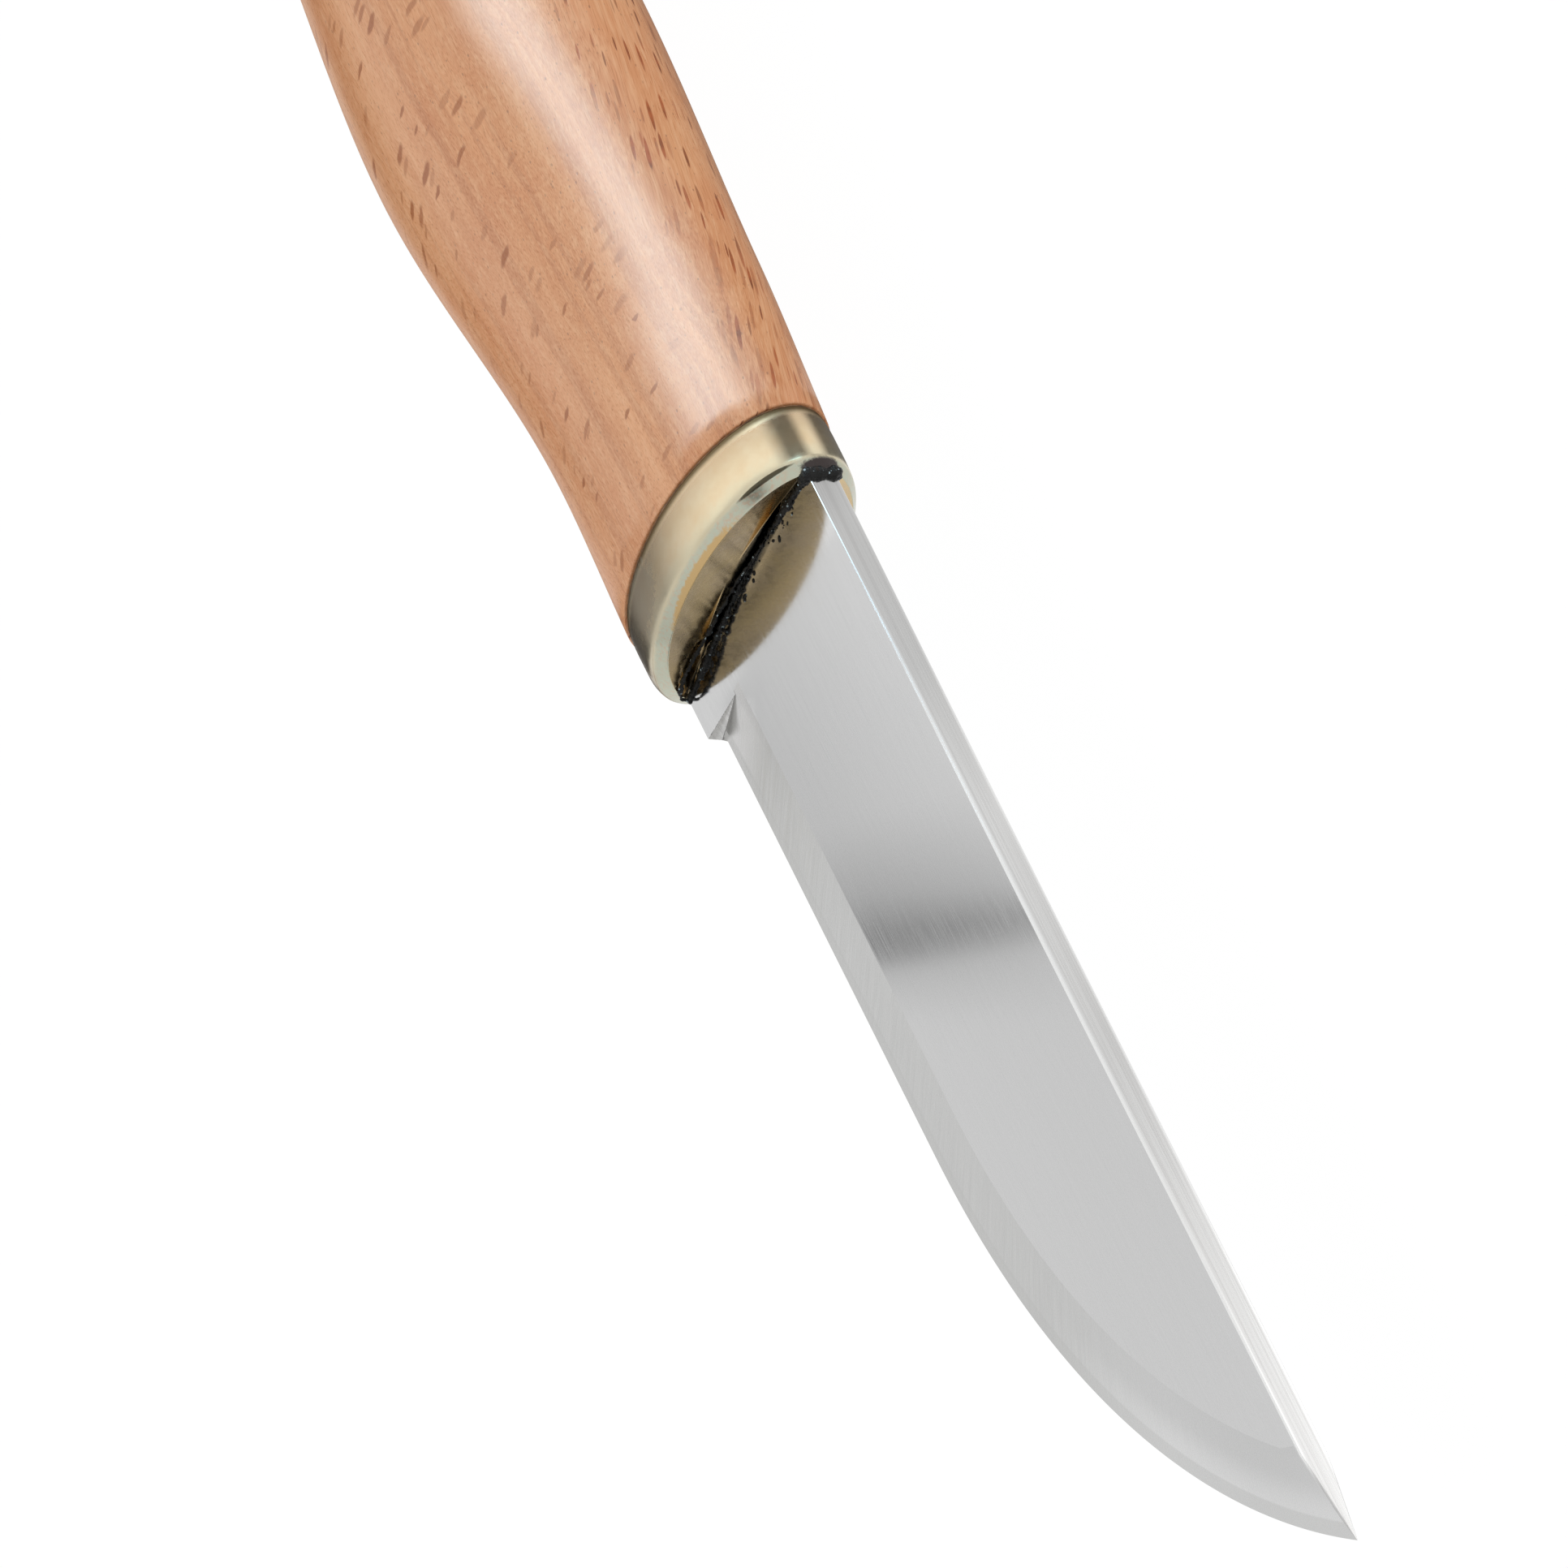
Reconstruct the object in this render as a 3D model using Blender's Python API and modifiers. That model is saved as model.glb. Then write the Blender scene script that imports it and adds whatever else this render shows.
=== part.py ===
# Fixed-blade hunting knife: a blade with a stick tang, a dished ferrule and a beech handle.
# Metres, +Z up. The knife lies on its left side, with +X to the tip and +Y to the spine.
# Inside the script every piece is drawn about the ferrule: x = 0 at the ferrule's lip and
# y = z = 0 on its axis. One empty then lifts the whole knife onto the ground.

import math

import bmesh
import bpy

# Clearance between any two pieces that touch
FIT_GAP = 0.0002

# Blade
BLADE_THICKNESS = 0.0025
RICASSO_HEIGHT = 0.02535     # spine to underside at the unsharpened heel
RICASSO_LENGTH = 0.0045      # ferrule lip to the start of the grind
PLUNGE_LENGTH = 0.0020       # the grinding wheel's run-in behind the bevel
HEEL_STEP = 0.0005           # what the grind takes off the underside
STRAIGHT_EDGE = 0.0485       # ferrule lip to the place where the edge starts to curve up
BELLY_LENGTH = 0.0620        # the curved rest of the edge, up to the tip
BEVEL_WIDTH = 0.00586        # edge to bevel line, measured square to the edge
EDGE_LAND = 0.0001           # width of the cutting edge itself

# Tang
TANG_HEIGHT = 0.0120
TANG_END_HEIGHT = 0.0065
TANG_THICKNESS = 0.0023
TANG_COVER = 0.0280          # wood left behind the tang's end

# Ferrule
FERRULE_LENGTH = 0.0063
FERRULE_HALF_WIDTH = 0.0070
FERRULE_WALL = 0.0009
FRONT_WALL = 0.0012
SPINE_INSET = 0.00072        # ferrule top to spine
HEEL_INSET = 0.00227         # ferrule bottom to the ricasso's underside
WIDEST_LEVEL = 0.0008        # every oval section is widest this far above the axis
RIM_LENGTH = 0.0018          # length of the rounded rim
RIM_BULGE = 0.0003           # how far the rim stands out from a straight chamfer
LIP_SIDE_INSET = 0.00077
LIP_TOP_INSET = 0.00067
LIP_BOTTOM_INSET = 0.00187
DISH_DEPTH = 0.0014
DISH_FLOOR_MARGIN = 0.0011   # dish floor beyond the blade's faces
DISH_FLOOR_SHORT = 0.0030    # the floor ends this far short of the lip, top and bottom

# Glue
SEAL_WIDTH = 0.0007          # bead on each face of the blade
SEAL_END = 0.0005            # bead above the spine and below the heel
SEAL_FRONT = 0.00045         # how far the bead stands in front of the lip
SEAL_ROUND = 0.00025
GLUE_THICKNESS = 0.00025     # sleeve between spigot and ferrule
BEDDING = 0.0008             # epoxy round the tang
BEDDING_END = 0.0015         # epoxy behind the tang's end

# Handle: lengths run back from the ferrule's rear rim, one station after the other.
# Tops, bottoms and half widths are swells on the ferrule's own oval.
NECK_PROUD = 0.0001
TO_WAIST = 0.0160
TO_BELLY = 0.0300
TO_REAR_WAIST = 0.0350
TO_FLARE = 0.0180
TO_BUTT = 0.0090
BUTT_ROUND = 0.0076
BUTT_SHARE = 0.9             # most of the butt's half width that its rounding takes
WAIST_TOP, WAIST_BOTTOM, WAIST_SIDE = 0.0010, -0.0013, 0.0009
BELLY_TOP, BELLY_BOTTOM, BELLY_SIDE = 0.0009, 0.0013, 0.0032
REAR_TOP, REAR_BOTTOM, REAR_SIDE = -0.0004, -0.0017, 0.0016
FLARE_TOP, FLARE_BOTTOM, FLARE_SIDE = -0.0003, -0.0004, 0.0020

# Facets
OVAL_SIDES = 48
HANDLE_RINGS = 26
BUTT_RINGS = 7
STRAIGHT_STEPS = 8
BELLY_STEPS = 14
PLUNGE_STEPS = 4
POINT_STEPS = 4
SEAL_ROUND_STEPS = 2
SHARP_ANGLE = math.radians(32)

# What follows from the sizes above
FERRULE_HALF_HEIGHT = (SPINE_INSET + RICASSO_HEIGHT + HEEL_INSET) / 2
SPINE_Y = FERRULE_HALF_HEIGHT - SPINE_INSET
HEEL_Y = HEEL_INSET - FERRULE_HALF_HEIGHT
EDGE_Y = HEEL_Y + HEEL_STEP
EDGE_RISE = SPINE_Y - EDGE_Y
TIP_X = STRAIGHT_EDGE + BELLY_LENGTH
BELLY_RADIUS = (BELLY_LENGTH**2 + EDGE_RISE**2) / (2 * EDGE_RISE)
HALF_BLADE = BLADE_THICKNESS / 2
HALF_LAND = EDGE_LAND / 2
SHOULDER_X = -DISH_DEPTH
SEAT_X = SHOULDER_X - FIT_GAP
CAVITY_X = -DISH_DEPTH - FRONT_WALL
SPIGOT_X = CAVITY_X - FIT_GAP
REAR_RIM_X = -FERRULE_LENGTH
NECK_X = REAR_RIM_X - FIT_GAP
BUTT_X = NECK_X - TO_WAIST - TO_BELLY - TO_REAR_WAIST - TO_FLARE - TO_BUTT
BUTT_FILLET = min(BUTT_ROUND, TO_BUTT, BUTT_SHARE * (FERRULE_HALF_WIDTH + FLARE_SIDE))
TANG_END_X = BUTT_X + TANG_COVER
BORE_END_X = TANG_END_X - BEDDING_END - 2 * FIT_GAP
SPIGOT_INSET = FERRULE_WALL + GLUE_THICKNESS + 2 * FIT_GAP


def clear_scene():
    for old in list(bpy.data.objects):
        bpy.data.objects.remove(old, do_unlink=True)


def new_collection(name):
    made = bpy.data.collections.new(name)
    bpy.context.scene.collection.children.link(made)
    return made


def material(name, colour, roughness, metallic=0.0):
    made = bpy.data.materials.new(name)
    made.use_nodes = True
    shader = made.node_tree.nodes["Principled BSDF"]
    shader.inputs["Base Color"].default_value = (*colour, 1.0)
    shader.inputs["Roughness"].default_value = roughness
    shader.inputs["Metallic"].default_value = metallic
    return made


def loft(name, rings, loop=False, apex=None):
    """A mesh through rings of equally many points. Its ends are capped, or one end runs to
    an apex, or with loop the last ring joins the first."""
    work = bmesh.new()
    rows = [[work.verts.new(point) for point in ring] for ring in rings]
    sides = len(rings[0])
    pairs = list(zip(rows, rows[1:]))
    if loop:
        pairs.append((rows[-1], rows[0]))
    for near, far in pairs:
        for i in range(sides):
            j = (i + 1) % sides
            work.faces.new((near[i], near[j], far[j], far[i]))
    if not loop:
        work.faces.new(rows[0])
        if apex is None:
            work.faces.new(rows[-1])
        else:
            tip = work.verts.new(apex)
            for i in range(sides):
                work.faces.new((rows[-1][i], rows[-1][(i + 1) % sides], tip))
    bmesh.ops.recalc_face_normals(work, faces=work.faces)
    mesh = bpy.data.meshes.new(name)
    work.to_mesh(mesh)
    work.free()
    mesh.shade_smooth()
    mesh.set_sharp_from_angle(angle=SHARP_ANGLE)
    return mesh


def oval(x, top, bottom, half_width):
    """A ring of two half ellipses that meet at the widest level."""
    points = []
    for i in range(OVAL_SIDES):
        turn = 2 * math.pi * i / OVAL_SIDES
        reach = top - WIDEST_LEVEL if math.cos(turn) > 0 else WIDEST_LEVEL - bottom
        y = WIDEST_LEVEL + reach * math.cos(turn)
        points.append((x, y, half_width * math.sin(turn)))
    return points


def ferrule_oval(x, top=0.0, bottom=0.0, side=0.0):
    """The ferrule's outline at x, swelled by these amounts, or drawn in where they are negative."""
    height = FERRULE_HALF_HEIGHT
    return oval(x, height + top, -height - bottom, FERRULE_HALF_WIDTH + side)


def rectangle(x, top, bottom, half_width):
    return [(x, top, half_width), (x, bottom, half_width), (x, bottom, -half_width), (x, top, -half_width)]


def steps(start, end, count):
    """count values from start up to but not including end."""
    return [start + (end - start) * i / count for i in range(count)]


def smooth(places, values, at):
    """A cubic through the values that never overshoots them."""
    slopes = [(values[i + 1] - values[i]) / (places[i + 1] - places[i]) for i in range(len(values) - 1)]
    tangents = [slopes[0]]
    for before, after in zip(slopes, slopes[1:]):
        turns_back = before * after <= 0
        tangents.append(0.0 if turns_back else 2 * before * after / (before + after))
    tangents.append(slopes[-1])
    i = 0
    while i < len(slopes) - 1 and at > places[i + 1]:
        i += 1
    span = places[i + 1] - places[i]
    t = (at - places[i]) / span
    return (
        values[i] * (1 + 2 * t) * (1 - t) ** 2
        + values[i + 1] * t * t * (3 - 2 * t)
        + span * t * (1 - t) * (tangents[i] * (1 - t) - tangents[i + 1] * t)
    )


def edge_y(x):
    """The cutting edge: straight, then an arc that meets the spine at the tip."""
    run = max(0.0, x - STRAIGHT_EDGE)
    return EDGE_Y + BELLY_RADIUS - math.sqrt(BELLY_RADIUS**2 - run**2)


def half_thickness(x, y):
    """Half the blade's thickness: the bevel rises evenly from the edge to the flat."""
    if x <= STRAIGHT_EDGE:
        inward = y - EDGE_Y
    else:
        inward = BELLY_RADIUS - math.hypot(x - STRAIGHT_EDGE, EDGE_Y + BELLY_RADIUS - y)
    return min(HALF_BLADE, HALF_LAND + (HALF_BLADE - HALF_LAND) * inward / BEVEL_WIDTH)


def bevel_y(x):
    """The line where the bevel meets the flat."""
    run = max(0.0, x - STRAIGHT_EDGE)
    inner = BELLY_RADIUS - BEVEL_WIDTH
    return EDGE_Y + BELLY_RADIUS - math.sqrt(inner**2 - run**2)


def blade_ring(x, corners):
    """corners are (y, half thickness) from spine to edge, on the right face; the left mirrors them."""
    right = [(x, y, z) for y, z in corners]
    return right + [(x, y, -z) for y, z in reversed(corners)]


def blade_mesh():
    half_tang, half_end, half_thick = TANG_HEIGHT / 2, TANG_END_HEIGHT / 2, TANG_THICKNESS / 2
    rings = [
        blade_ring(TANG_END_X, [(half_end, half_thick), (0.0, half_thick), (-half_end, half_thick)]),
        blade_ring(SHOULDER_X, [(half_tang, half_thick), (0.0, half_thick), (-half_tang, half_thick)]),
    ]
    heel_bevel_y = EDGE_Y + BEVEL_WIDTH
    ricasso = [(SPINE_Y, HALF_BLADE), (heel_bevel_y, HALF_BLADE), (HEEL_Y, HALF_BLADE)]
    for x in (SHOULDER_X, SEAL_FRONT + FIT_GAP, RICASSO_LENGTH):
        rings.append(blade_ring(x, ricasso))
    # The grinding wheel leaves a quarter-round run-in between the ricasso and the bevel
    for turn in steps(0.0, math.pi / 2, PLUNGE_STEPS)[1:]:
        drop = math.sin(turn)
        low = (HEEL_Y + HEEL_STEP * drop, HALF_BLADE + (HALF_LAND - HALF_BLADE) * drop)
        x = RICASSO_LENGTH + PLUNGE_LENGTH * (1 - math.cos(turn))
        rings.append(blade_ring(x, [(SPINE_Y, HALF_BLADE), (heel_bevel_y, HALF_BLADE), low]))
    # The bevel line runs out on the spine short of the tip
    centre_height = EDGE_Y + BELLY_RADIUS - SPINE_Y
    run_out_x = STRAIGHT_EDGE + math.sqrt((BELLY_RADIUS - BEVEL_WIDTH) ** 2 - centre_height**2)
    plunge_end = RICASSO_LENGTH + PLUNGE_LENGTH
    stations = steps(plunge_end, STRAIGHT_EDGE, STRAIGHT_STEPS) + steps(STRAIGHT_EDGE, run_out_x, BELLY_STEPS)
    for x in stations:
        corners = [(SPINE_Y, HALF_BLADE), (bevel_y(x), HALF_BLADE), (edge_y(x), HALF_LAND)]
        rings.append(blade_ring(x, corners))
    for x in steps(run_out_x, TIP_X, POINT_STEPS)[1:]:
        levels = (SPINE_Y, (SPINE_Y + edge_y(x)) / 2, edge_y(x))
        rings.append(blade_ring(x, [(y, half_thickness(x, y)) for y in levels]))
    return loft("blade", rings, apex=(TIP_X, SPINE_Y, 0.0))


def rim_rings(swell):
    """The ferrule's outside from its rear to the floor of the dish, swelled for a cutter."""
    bulge = RIM_BULGE + swell
    half_rim = -RIM_LENGTH / 2 + swell / 2
    floor_top = SPINE_INSET + DISH_FLOOR_SHORT
    floor_bottom = HEEL_INSET + DISH_FLOOR_SHORT
    floor_side = HALF_BLADE + DISH_FLOOR_MARGIN - FERRULE_HALF_WIDTH
    return [
        ferrule_oval(-RIM_LENGTH, swell, swell, swell),
        ferrule_oval(
            half_rim,
            bulge - LIP_TOP_INSET / 2,
            bulge - LIP_BOTTOM_INSET / 2,
            bulge - LIP_SIDE_INSET / 2,
        ),
        ferrule_oval(swell, -LIP_TOP_INSET, -LIP_BOTTOM_INSET, -LIP_SIDE_INSET),
        ferrule_oval(swell - DISH_DEPTH, -floor_top, -floor_bottom, floor_side),
    ]


def ferrule_mesh():
    wall = FERRULE_WALL
    inside = [ferrule_oval(x, -wall, -wall, -wall) for x in (CAVITY_X, REAR_RIM_X)]
    return loft("ferrule", inside + [ferrule_oval(REAR_RIM_X)] + rim_rings(0.0))


def ferrule_envelope():
    """The closed outside of the ferrule with a clearance, to cut the seal against."""
    return loft("ferrule_envelope", [ferrule_oval(REAR_RIM_X)] + rim_rings(FIT_GAP))


def handle_rings():
    places = [0.0]
    for length in (TO_WAIST, TO_BELLY, TO_REAR_WAIST, TO_FLARE, TO_BUTT):
        places.append(places[-1] + length)
    tops = [NECK_PROUD, WAIST_TOP, BELLY_TOP, REAR_TOP, FLARE_TOP, FLARE_TOP]
    bottoms = [NECK_PROUD, WAIST_BOTTOM, BELLY_BOTTOM, REAR_BOTTOM, FLARE_BOTTOM, FLARE_BOTTOM]
    sides = [NECK_PROUD, WAIST_SIDE, BELLY_SIDE, REAR_SIDE, FLARE_SIDE, FLARE_SIDE]

    def section(back, inset=0.0):
        swells = [smooth(places, values, back) - inset for values in (tops, bottoms, sides)]
        return ferrule_oval(NECK_X - back, *swells)

    rounding_starts = places[-1] - BUTT_FILLET
    rings = [section(back) for back in steps(0.0, rounding_starts, HANDLE_RINGS)]
    for i in range(BUTT_RINGS + 1):
        turn = math.pi / 2 * i / BUTT_RINGS
        back = rounding_starts + BUTT_FILLET * math.sin(turn)
        rings.append(section(back, BUTT_FILLET * (1 - math.cos(turn))))
    return rings


def handle_mesh(rings):
    spigot = [ferrule_oval(x, -SPIGOT_INSET, -SPIGOT_INSET, -SPIGOT_INSET) for x in (SPIGOT_X, NECK_X)]
    return loft("handle", spigot + rings)


def sleeve_mesh():
    outer = -FERRULE_WALL - FIT_GAP
    inner = outer - GLUE_THICKNESS
    front, rear = SPIGOT_X, REAR_RIM_X
    corners = [(front, outer), (rear, outer), (rear, inner), (front, inner)]
    return loft("ferrule_adhesive", [ferrule_oval(x, s, s, s) for x, s in corners], loop=True)


def tang_ring(x, height, margin):
    """The tang's outline at x with a margin all round."""
    half = height / 2 + margin
    return rectangle(x, half, -half, TANG_THICKNESS / 2 + margin)


def bedding_mesh():
    inner, outer = FIT_GAP, FIT_GAP + BEDDING
    front = SPIGOT_X
    rings = [
        tang_ring(TANG_END_X - FIT_GAP, TANG_END_HEIGHT, inner),
        tang_ring(front, TANG_HEIGHT, inner),
        tang_ring(front, TANG_HEIGHT, outer),
        tang_ring(BORE_END_X + FIT_GAP, TANG_END_HEIGHT, outer),
    ]
    return loft("tang_bedding", rings)


def bore_mesh():
    margin = BEDDING + 2 * FIT_GAP
    rings = [tang_ring(BORE_END_X, TANG_END_HEIGHT, margin), tang_ring(SPIGOT_X, TANG_HEIGHT, margin)]
    return loft("tang_bore", rings + [tang_ring(CAVITY_X, TANG_HEIGHT, margin)])


def box_mesh(name, x_range, top, bottom, half_width):
    return loft(name, [rectangle(x, top, bottom, half_width) for x in x_range])


def blade_slot_mesh(name):
    """A clearance cut for the blade's heel, from its shoulders out past everything in front."""
    x_range = (SEAT_X, RICASSO_LENGTH)
    return box_mesh(name, x_range, SPINE_Y + FIT_GAP, HEEL_Y - FIT_GAP, HALF_BLADE + FIT_GAP)


def tang_slot_mesh():
    half = TANG_HEIGHT / 2 + FIT_GAP
    return box_mesh("tang_slot", (SPIGOT_X, SHOULDER_X), half, -half, TANG_THICKNESS / 2 + FIT_GAP)


def seal_mesh():
    top, bottom = SPINE_Y + SEAL_END, HEEL_Y - SEAL_END
    return box_mesh("slot_seal", (SHOULDER_X, SEAL_FRONT), top, bottom, HALF_BLADE + SEAL_WIDTH)


def place(mesh, collection, rest, surface=None):
    piece = bpy.data.objects.new(mesh.name, mesh)
    collection.objects.link(piece)
    piece.parent = rest
    if surface is not None:
        mesh.materials.append(surface)
    return piece


def cutter(mesh, collection, rest):
    tool = place(mesh, collection, rest)
    tool.hide_render = True
    tool.display_type = "WIRE"
    return tool


def cut(piece, tool):
    change = piece.modifiers.new("cut " + tool.name, "BOOLEAN")
    change.operation = "DIFFERENCE"
    change.solver = "EXACT"
    change.object = tool


def soften(piece, width, segments):
    change = piece.modifiers.new("softened edges", "BEVEL")
    change.width = width
    change.segments = segments
    change.limit_method = "ANGLE"


def main():
    clear_scene()
    knife = new_collection("hunting_knife")
    cutters = new_collection("cutters")

    beech = material("beech", (0.67, 0.42, 0.26), 0.35)
    plated = material("plated ferrule", (0.55, 0.42, 0.22), 0.25, 1.0)
    steel = material("ground steel", (0.62, 0.62, 0.62), 0.30, 1.0)
    epoxy = material("black epoxy", (0.012, 0.011, 0.010), 0.30)
    glue = material("brown glue", (0.05, 0.03, 0.015), 0.40)

    rings = handle_rings()
    widest = [point for ring in rings for point in ring]
    lowest_y = min(y for _, y, _ in widest)
    highest_y = max(y for _, y, _ in widest)
    half_width = max(z for _, _, z in widest)

    # The knife lies over the origin, on the fullest part of its handle
    rest = bpy.data.objects.new("knife_rest", None)
    knife.objects.link(rest)
    rest.location = (-(TIP_X + BUTT_X) / 2, -(lowest_y + highest_y) / 2, half_width)

    place(blade_mesh(), knife, rest, steel)

    ferrule = place(ferrule_mesh(), knife, rest, plated)
    cut(ferrule, cutter(blade_slot_mesh("blade_seat"), cutters, rest))
    cut(ferrule, cutter(tang_slot_mesh(), cutters, rest))

    seal = place(seal_mesh(), knife, rest, epoxy)
    soften(seal, SEAL_ROUND, SEAL_ROUND_STEPS)
    cut(seal, cutter(blade_slot_mesh("seal_slot"), cutters, rest))
    cut(seal, cutter(ferrule_envelope(), cutters, rest))

    place(sleeve_mesh(), knife, rest, glue)

    handle = place(handle_mesh(rings), knife, rest, beech)
    cut(handle, cutter(bore_mesh(), cutters, rest))

    place(bedding_mesh(), knife, rest, epoxy)


main()
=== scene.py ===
import math
import random

import bmesh
import bpy
from mathutils import Matrix, Vector, noise


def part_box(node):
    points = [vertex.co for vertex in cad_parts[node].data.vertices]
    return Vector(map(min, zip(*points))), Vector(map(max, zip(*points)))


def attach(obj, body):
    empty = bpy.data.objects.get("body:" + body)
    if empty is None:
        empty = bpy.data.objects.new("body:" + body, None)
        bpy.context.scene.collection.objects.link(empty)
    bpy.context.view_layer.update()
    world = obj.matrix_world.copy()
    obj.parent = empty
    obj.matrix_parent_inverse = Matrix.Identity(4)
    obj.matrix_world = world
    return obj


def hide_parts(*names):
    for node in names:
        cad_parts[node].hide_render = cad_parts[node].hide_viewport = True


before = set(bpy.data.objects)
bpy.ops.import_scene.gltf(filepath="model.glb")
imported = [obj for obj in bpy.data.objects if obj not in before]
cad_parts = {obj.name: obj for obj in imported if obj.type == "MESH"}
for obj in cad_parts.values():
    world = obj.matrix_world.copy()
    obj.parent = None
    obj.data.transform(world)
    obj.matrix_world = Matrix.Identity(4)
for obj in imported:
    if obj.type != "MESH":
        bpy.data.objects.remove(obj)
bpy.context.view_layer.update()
print("frame loaded:", ", ".join(sorted(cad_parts)))

mm = 0.001
quarterTurn = math.pi / 2
ferruleLow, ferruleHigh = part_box("ferrule")
bladeLow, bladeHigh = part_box("blade")

# every piece is drawn about the middle of the ferrule's lip, then set down there
lip = Vector((ferruleHigh.x, (ferruleLow.y + ferruleHigh.y) / 2, (ferruleLow.z + ferruleHigh.z) / 2))
halfHeight = (ferruleHigh.y - ferruleLow.y) / 2
halfWidth = (ferruleHigh.z - ferruleLow.z) / 2
rearRimX = ferruleLow.x - lip.x
spineY = bladeHigh.y - lip.y
heelY = bladeLow.y - lip.y
tipX = bladeHigh.x - lip.x
tangEndX = bladeLow.x - lip.x
halfThick = (bladeHigh.z - bladeLow.z) / 2
fitGap = 0.2 * mm
widest = 0.8 * mm  # the level, above its middle, at which the ferrule is widest


# small helpers for numbers

def mixed(a, b, share):
    return a + (b - a) * share


def inMm(*values):
    return tuple(value * mm for value in values)


def eased(value, low, high):
    t = min(1.0, max(0.0, (value - low) / (high - low)))
    return t * t * (3 - 2 * t)


def steps(start, end, count):
    return [mixed(start, end, i / count) for i in range(count)]


def stepsTo(start, end, count):
    return steps(start, end, count) + [end]


def turns(count):
    # cosine and sine of equal steps round a circle
    angles = [2 * math.pi * i / count for i in range(count)]
    return [(math.cos(angle), math.sin(angle)) for angle in angles]


def smoothThrough(places, values, at):
    # a cubic through the values that never overshoots them
    slopes = [(values[i + 1] - values[i]) / (places[i + 1] - places[i]) for i in range(len(values) - 1)]
    tangents = [slopes[0]]
    for before, after in zip(slopes, slopes[1:]):
        tangents.append(0.0 if before * after <= 0 else 2 * before * after / (before + after))
    tangents.append(slopes[-1])
    i = 0
    while i < len(slopes) - 1 and at > places[i + 1]:
        i += 1
    span = places[i + 1] - places[i]
    t = (at - places[i]) / span
    return (
        values[i] * (1 + 2 * t) * (1 - t) ** 2
        + values[i + 1] * t * t * (3 - 2 * t)
        + span * t * (1 - t) * (tangents[i] * (1 - t) - tangents[i + 1] * t)
    )


def bumpy(point, size, octaves=3):
    # seeded by place alone, so every run gives the same bumps
    return noise.fractal(point / size, 0.9, 2.1, octaves, noise_basis="PERLIN_ORIGINAL")


# small helpers for meshes

def skin(rings, loop=False, capStart=False, capEnd=False, apex=None):
    work = bmesh.new()
    rows = [[work.verts.new(point) for point in ring] for ring in rings]
    pairs = list(zip(rows, rows[1:]))
    if loop:
        pairs.append((rows[-1], rows[0]))
    count = len(rings[0])
    for near, far in pairs:
        for i in range(count):
            j = (i + 1) % count
            work.faces.new((near[i], near[j], far[j], far[i]))
    if capStart:
        work.faces.new(rows[0])
    if capEnd:
        work.faces.new(rows[-1])
    if apex is not None:
        tip = work.verts.new(apex)
        for i in range(count):
            work.faces.new((rows[-1][i], rows[-1][(i + 1) % count], tip))
    bmesh.ops.recalc_face_normals(work, faces=work.faces)
    return work


def sharpen(work, angle, keepSmooth=None):
    for face in work.faces:
        face.smooth = True
    for edge in work.edges:
        if len(edge.link_faces) == 2 and edge.calc_face_angle(0.0) > angle:
            if keepSmooth is None or not keepSmooth(edge):
                edge.smooth = False


def addObject(name, data):
    made = bpy.data.objects.new(name, data)
    bpy.context.scene.collection.objects.link(made)
    return made


def addMesh(name, work, materials):
    mesh = bpy.data.meshes.new(name)
    work.to_mesh(mesh)
    work.free()
    for each in materials:
        mesh.materials.append(each)
    return addObject(name, mesh)


def setDown(name, work, materials, slotName, *nodes):
    piece = addMesh(name, work, materials)
    piece.location = lip
    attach(piece, "root")
    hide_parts(*nodes)
    print("made", name, "with", len(piece.data.vertices), "points")


def oval(x, top, bottom, side, count):
    # two half ellipses that meet at the widest level, as on the ferrule
    ring = []
    for c, s in turns(count):
        reach = top - widest if c > 0 else widest - bottom
        ring.append(Vector((x, widest + reach * c, side * s)))
    return ring


def slotRing(x, top, bottom, side, count, squareness=0.22):
    # a rectangle with soft corners, point for point with an oval
    def squared(share):
        return math.copysign(abs(share) ** squareness, share)

    middle, reach = (top + bottom) / 2, (top - bottom) / 2
    return [Vector((x, middle + reach * squared(c), side * squared(s))) for c, s in turns(count)]


# small helpers for shader nodes

def fill(node, sockets):
    # links each value that comes from another node and sets the rest
    for key, value in sockets.items():
        if isinstance(value, bpy.types.NodeSocket):
            node.id_data.links.new(value, node.inputs[key])
        else:
            node.inputs[key].default_value = value
    return node


def addNode(tree, kind, sockets=None, **settings):
    made = tree.nodes.new(kind)
    for key, value in settings.items():
        setattr(made, key, value)
    return fill(made, sockets or {})


def maths(operation, a, b=0.0):
    # works in the tree of the value it is given, as the helpers below do
    tree = (a if isinstance(a, bpy.types.NodeSocket) else b).id_data
    return addNode(tree, "ShaderNodeMath", {0: a, 1: b}, operation=operation).outputs[0]


def times(a, b):
    return maths("MULTIPLY", a, b)


def plus(a, b):
    return maths("ADD", a, b)


def minus(a, b):
    return maths("SUBTRACT", a, b)


def vectorMaths(operation, a, b):
    return addNode(a.id_data, "ShaderNodeVectorMath", {0: a, 1: b}, operation=operation).outputs[0]


def joined(*parts):
    return addNode(parts[0].id_data, "ShaderNodeCombineXYZ", dict(enumerate(parts))).outputs[0]


def parted(vector):
    return addNode(vector.id_data, "ShaderNodeSeparateXYZ", {0: vector}).outputs


def ranged(value, fromLow, fromHigh, toLow=0.0, toHigh=1.0, soft=True):
    sockets = {"Value": value, "From Min": fromLow, "From Max": fromHigh, "To Min": toLow, "To Max": toHigh}
    kind = "SMOOTHSTEP" if soft else "LINEAR"
    return addNode(value.id_data, "ShaderNodeMapRange", sockets, interpolation_type=kind).outputs["Result"]


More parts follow.
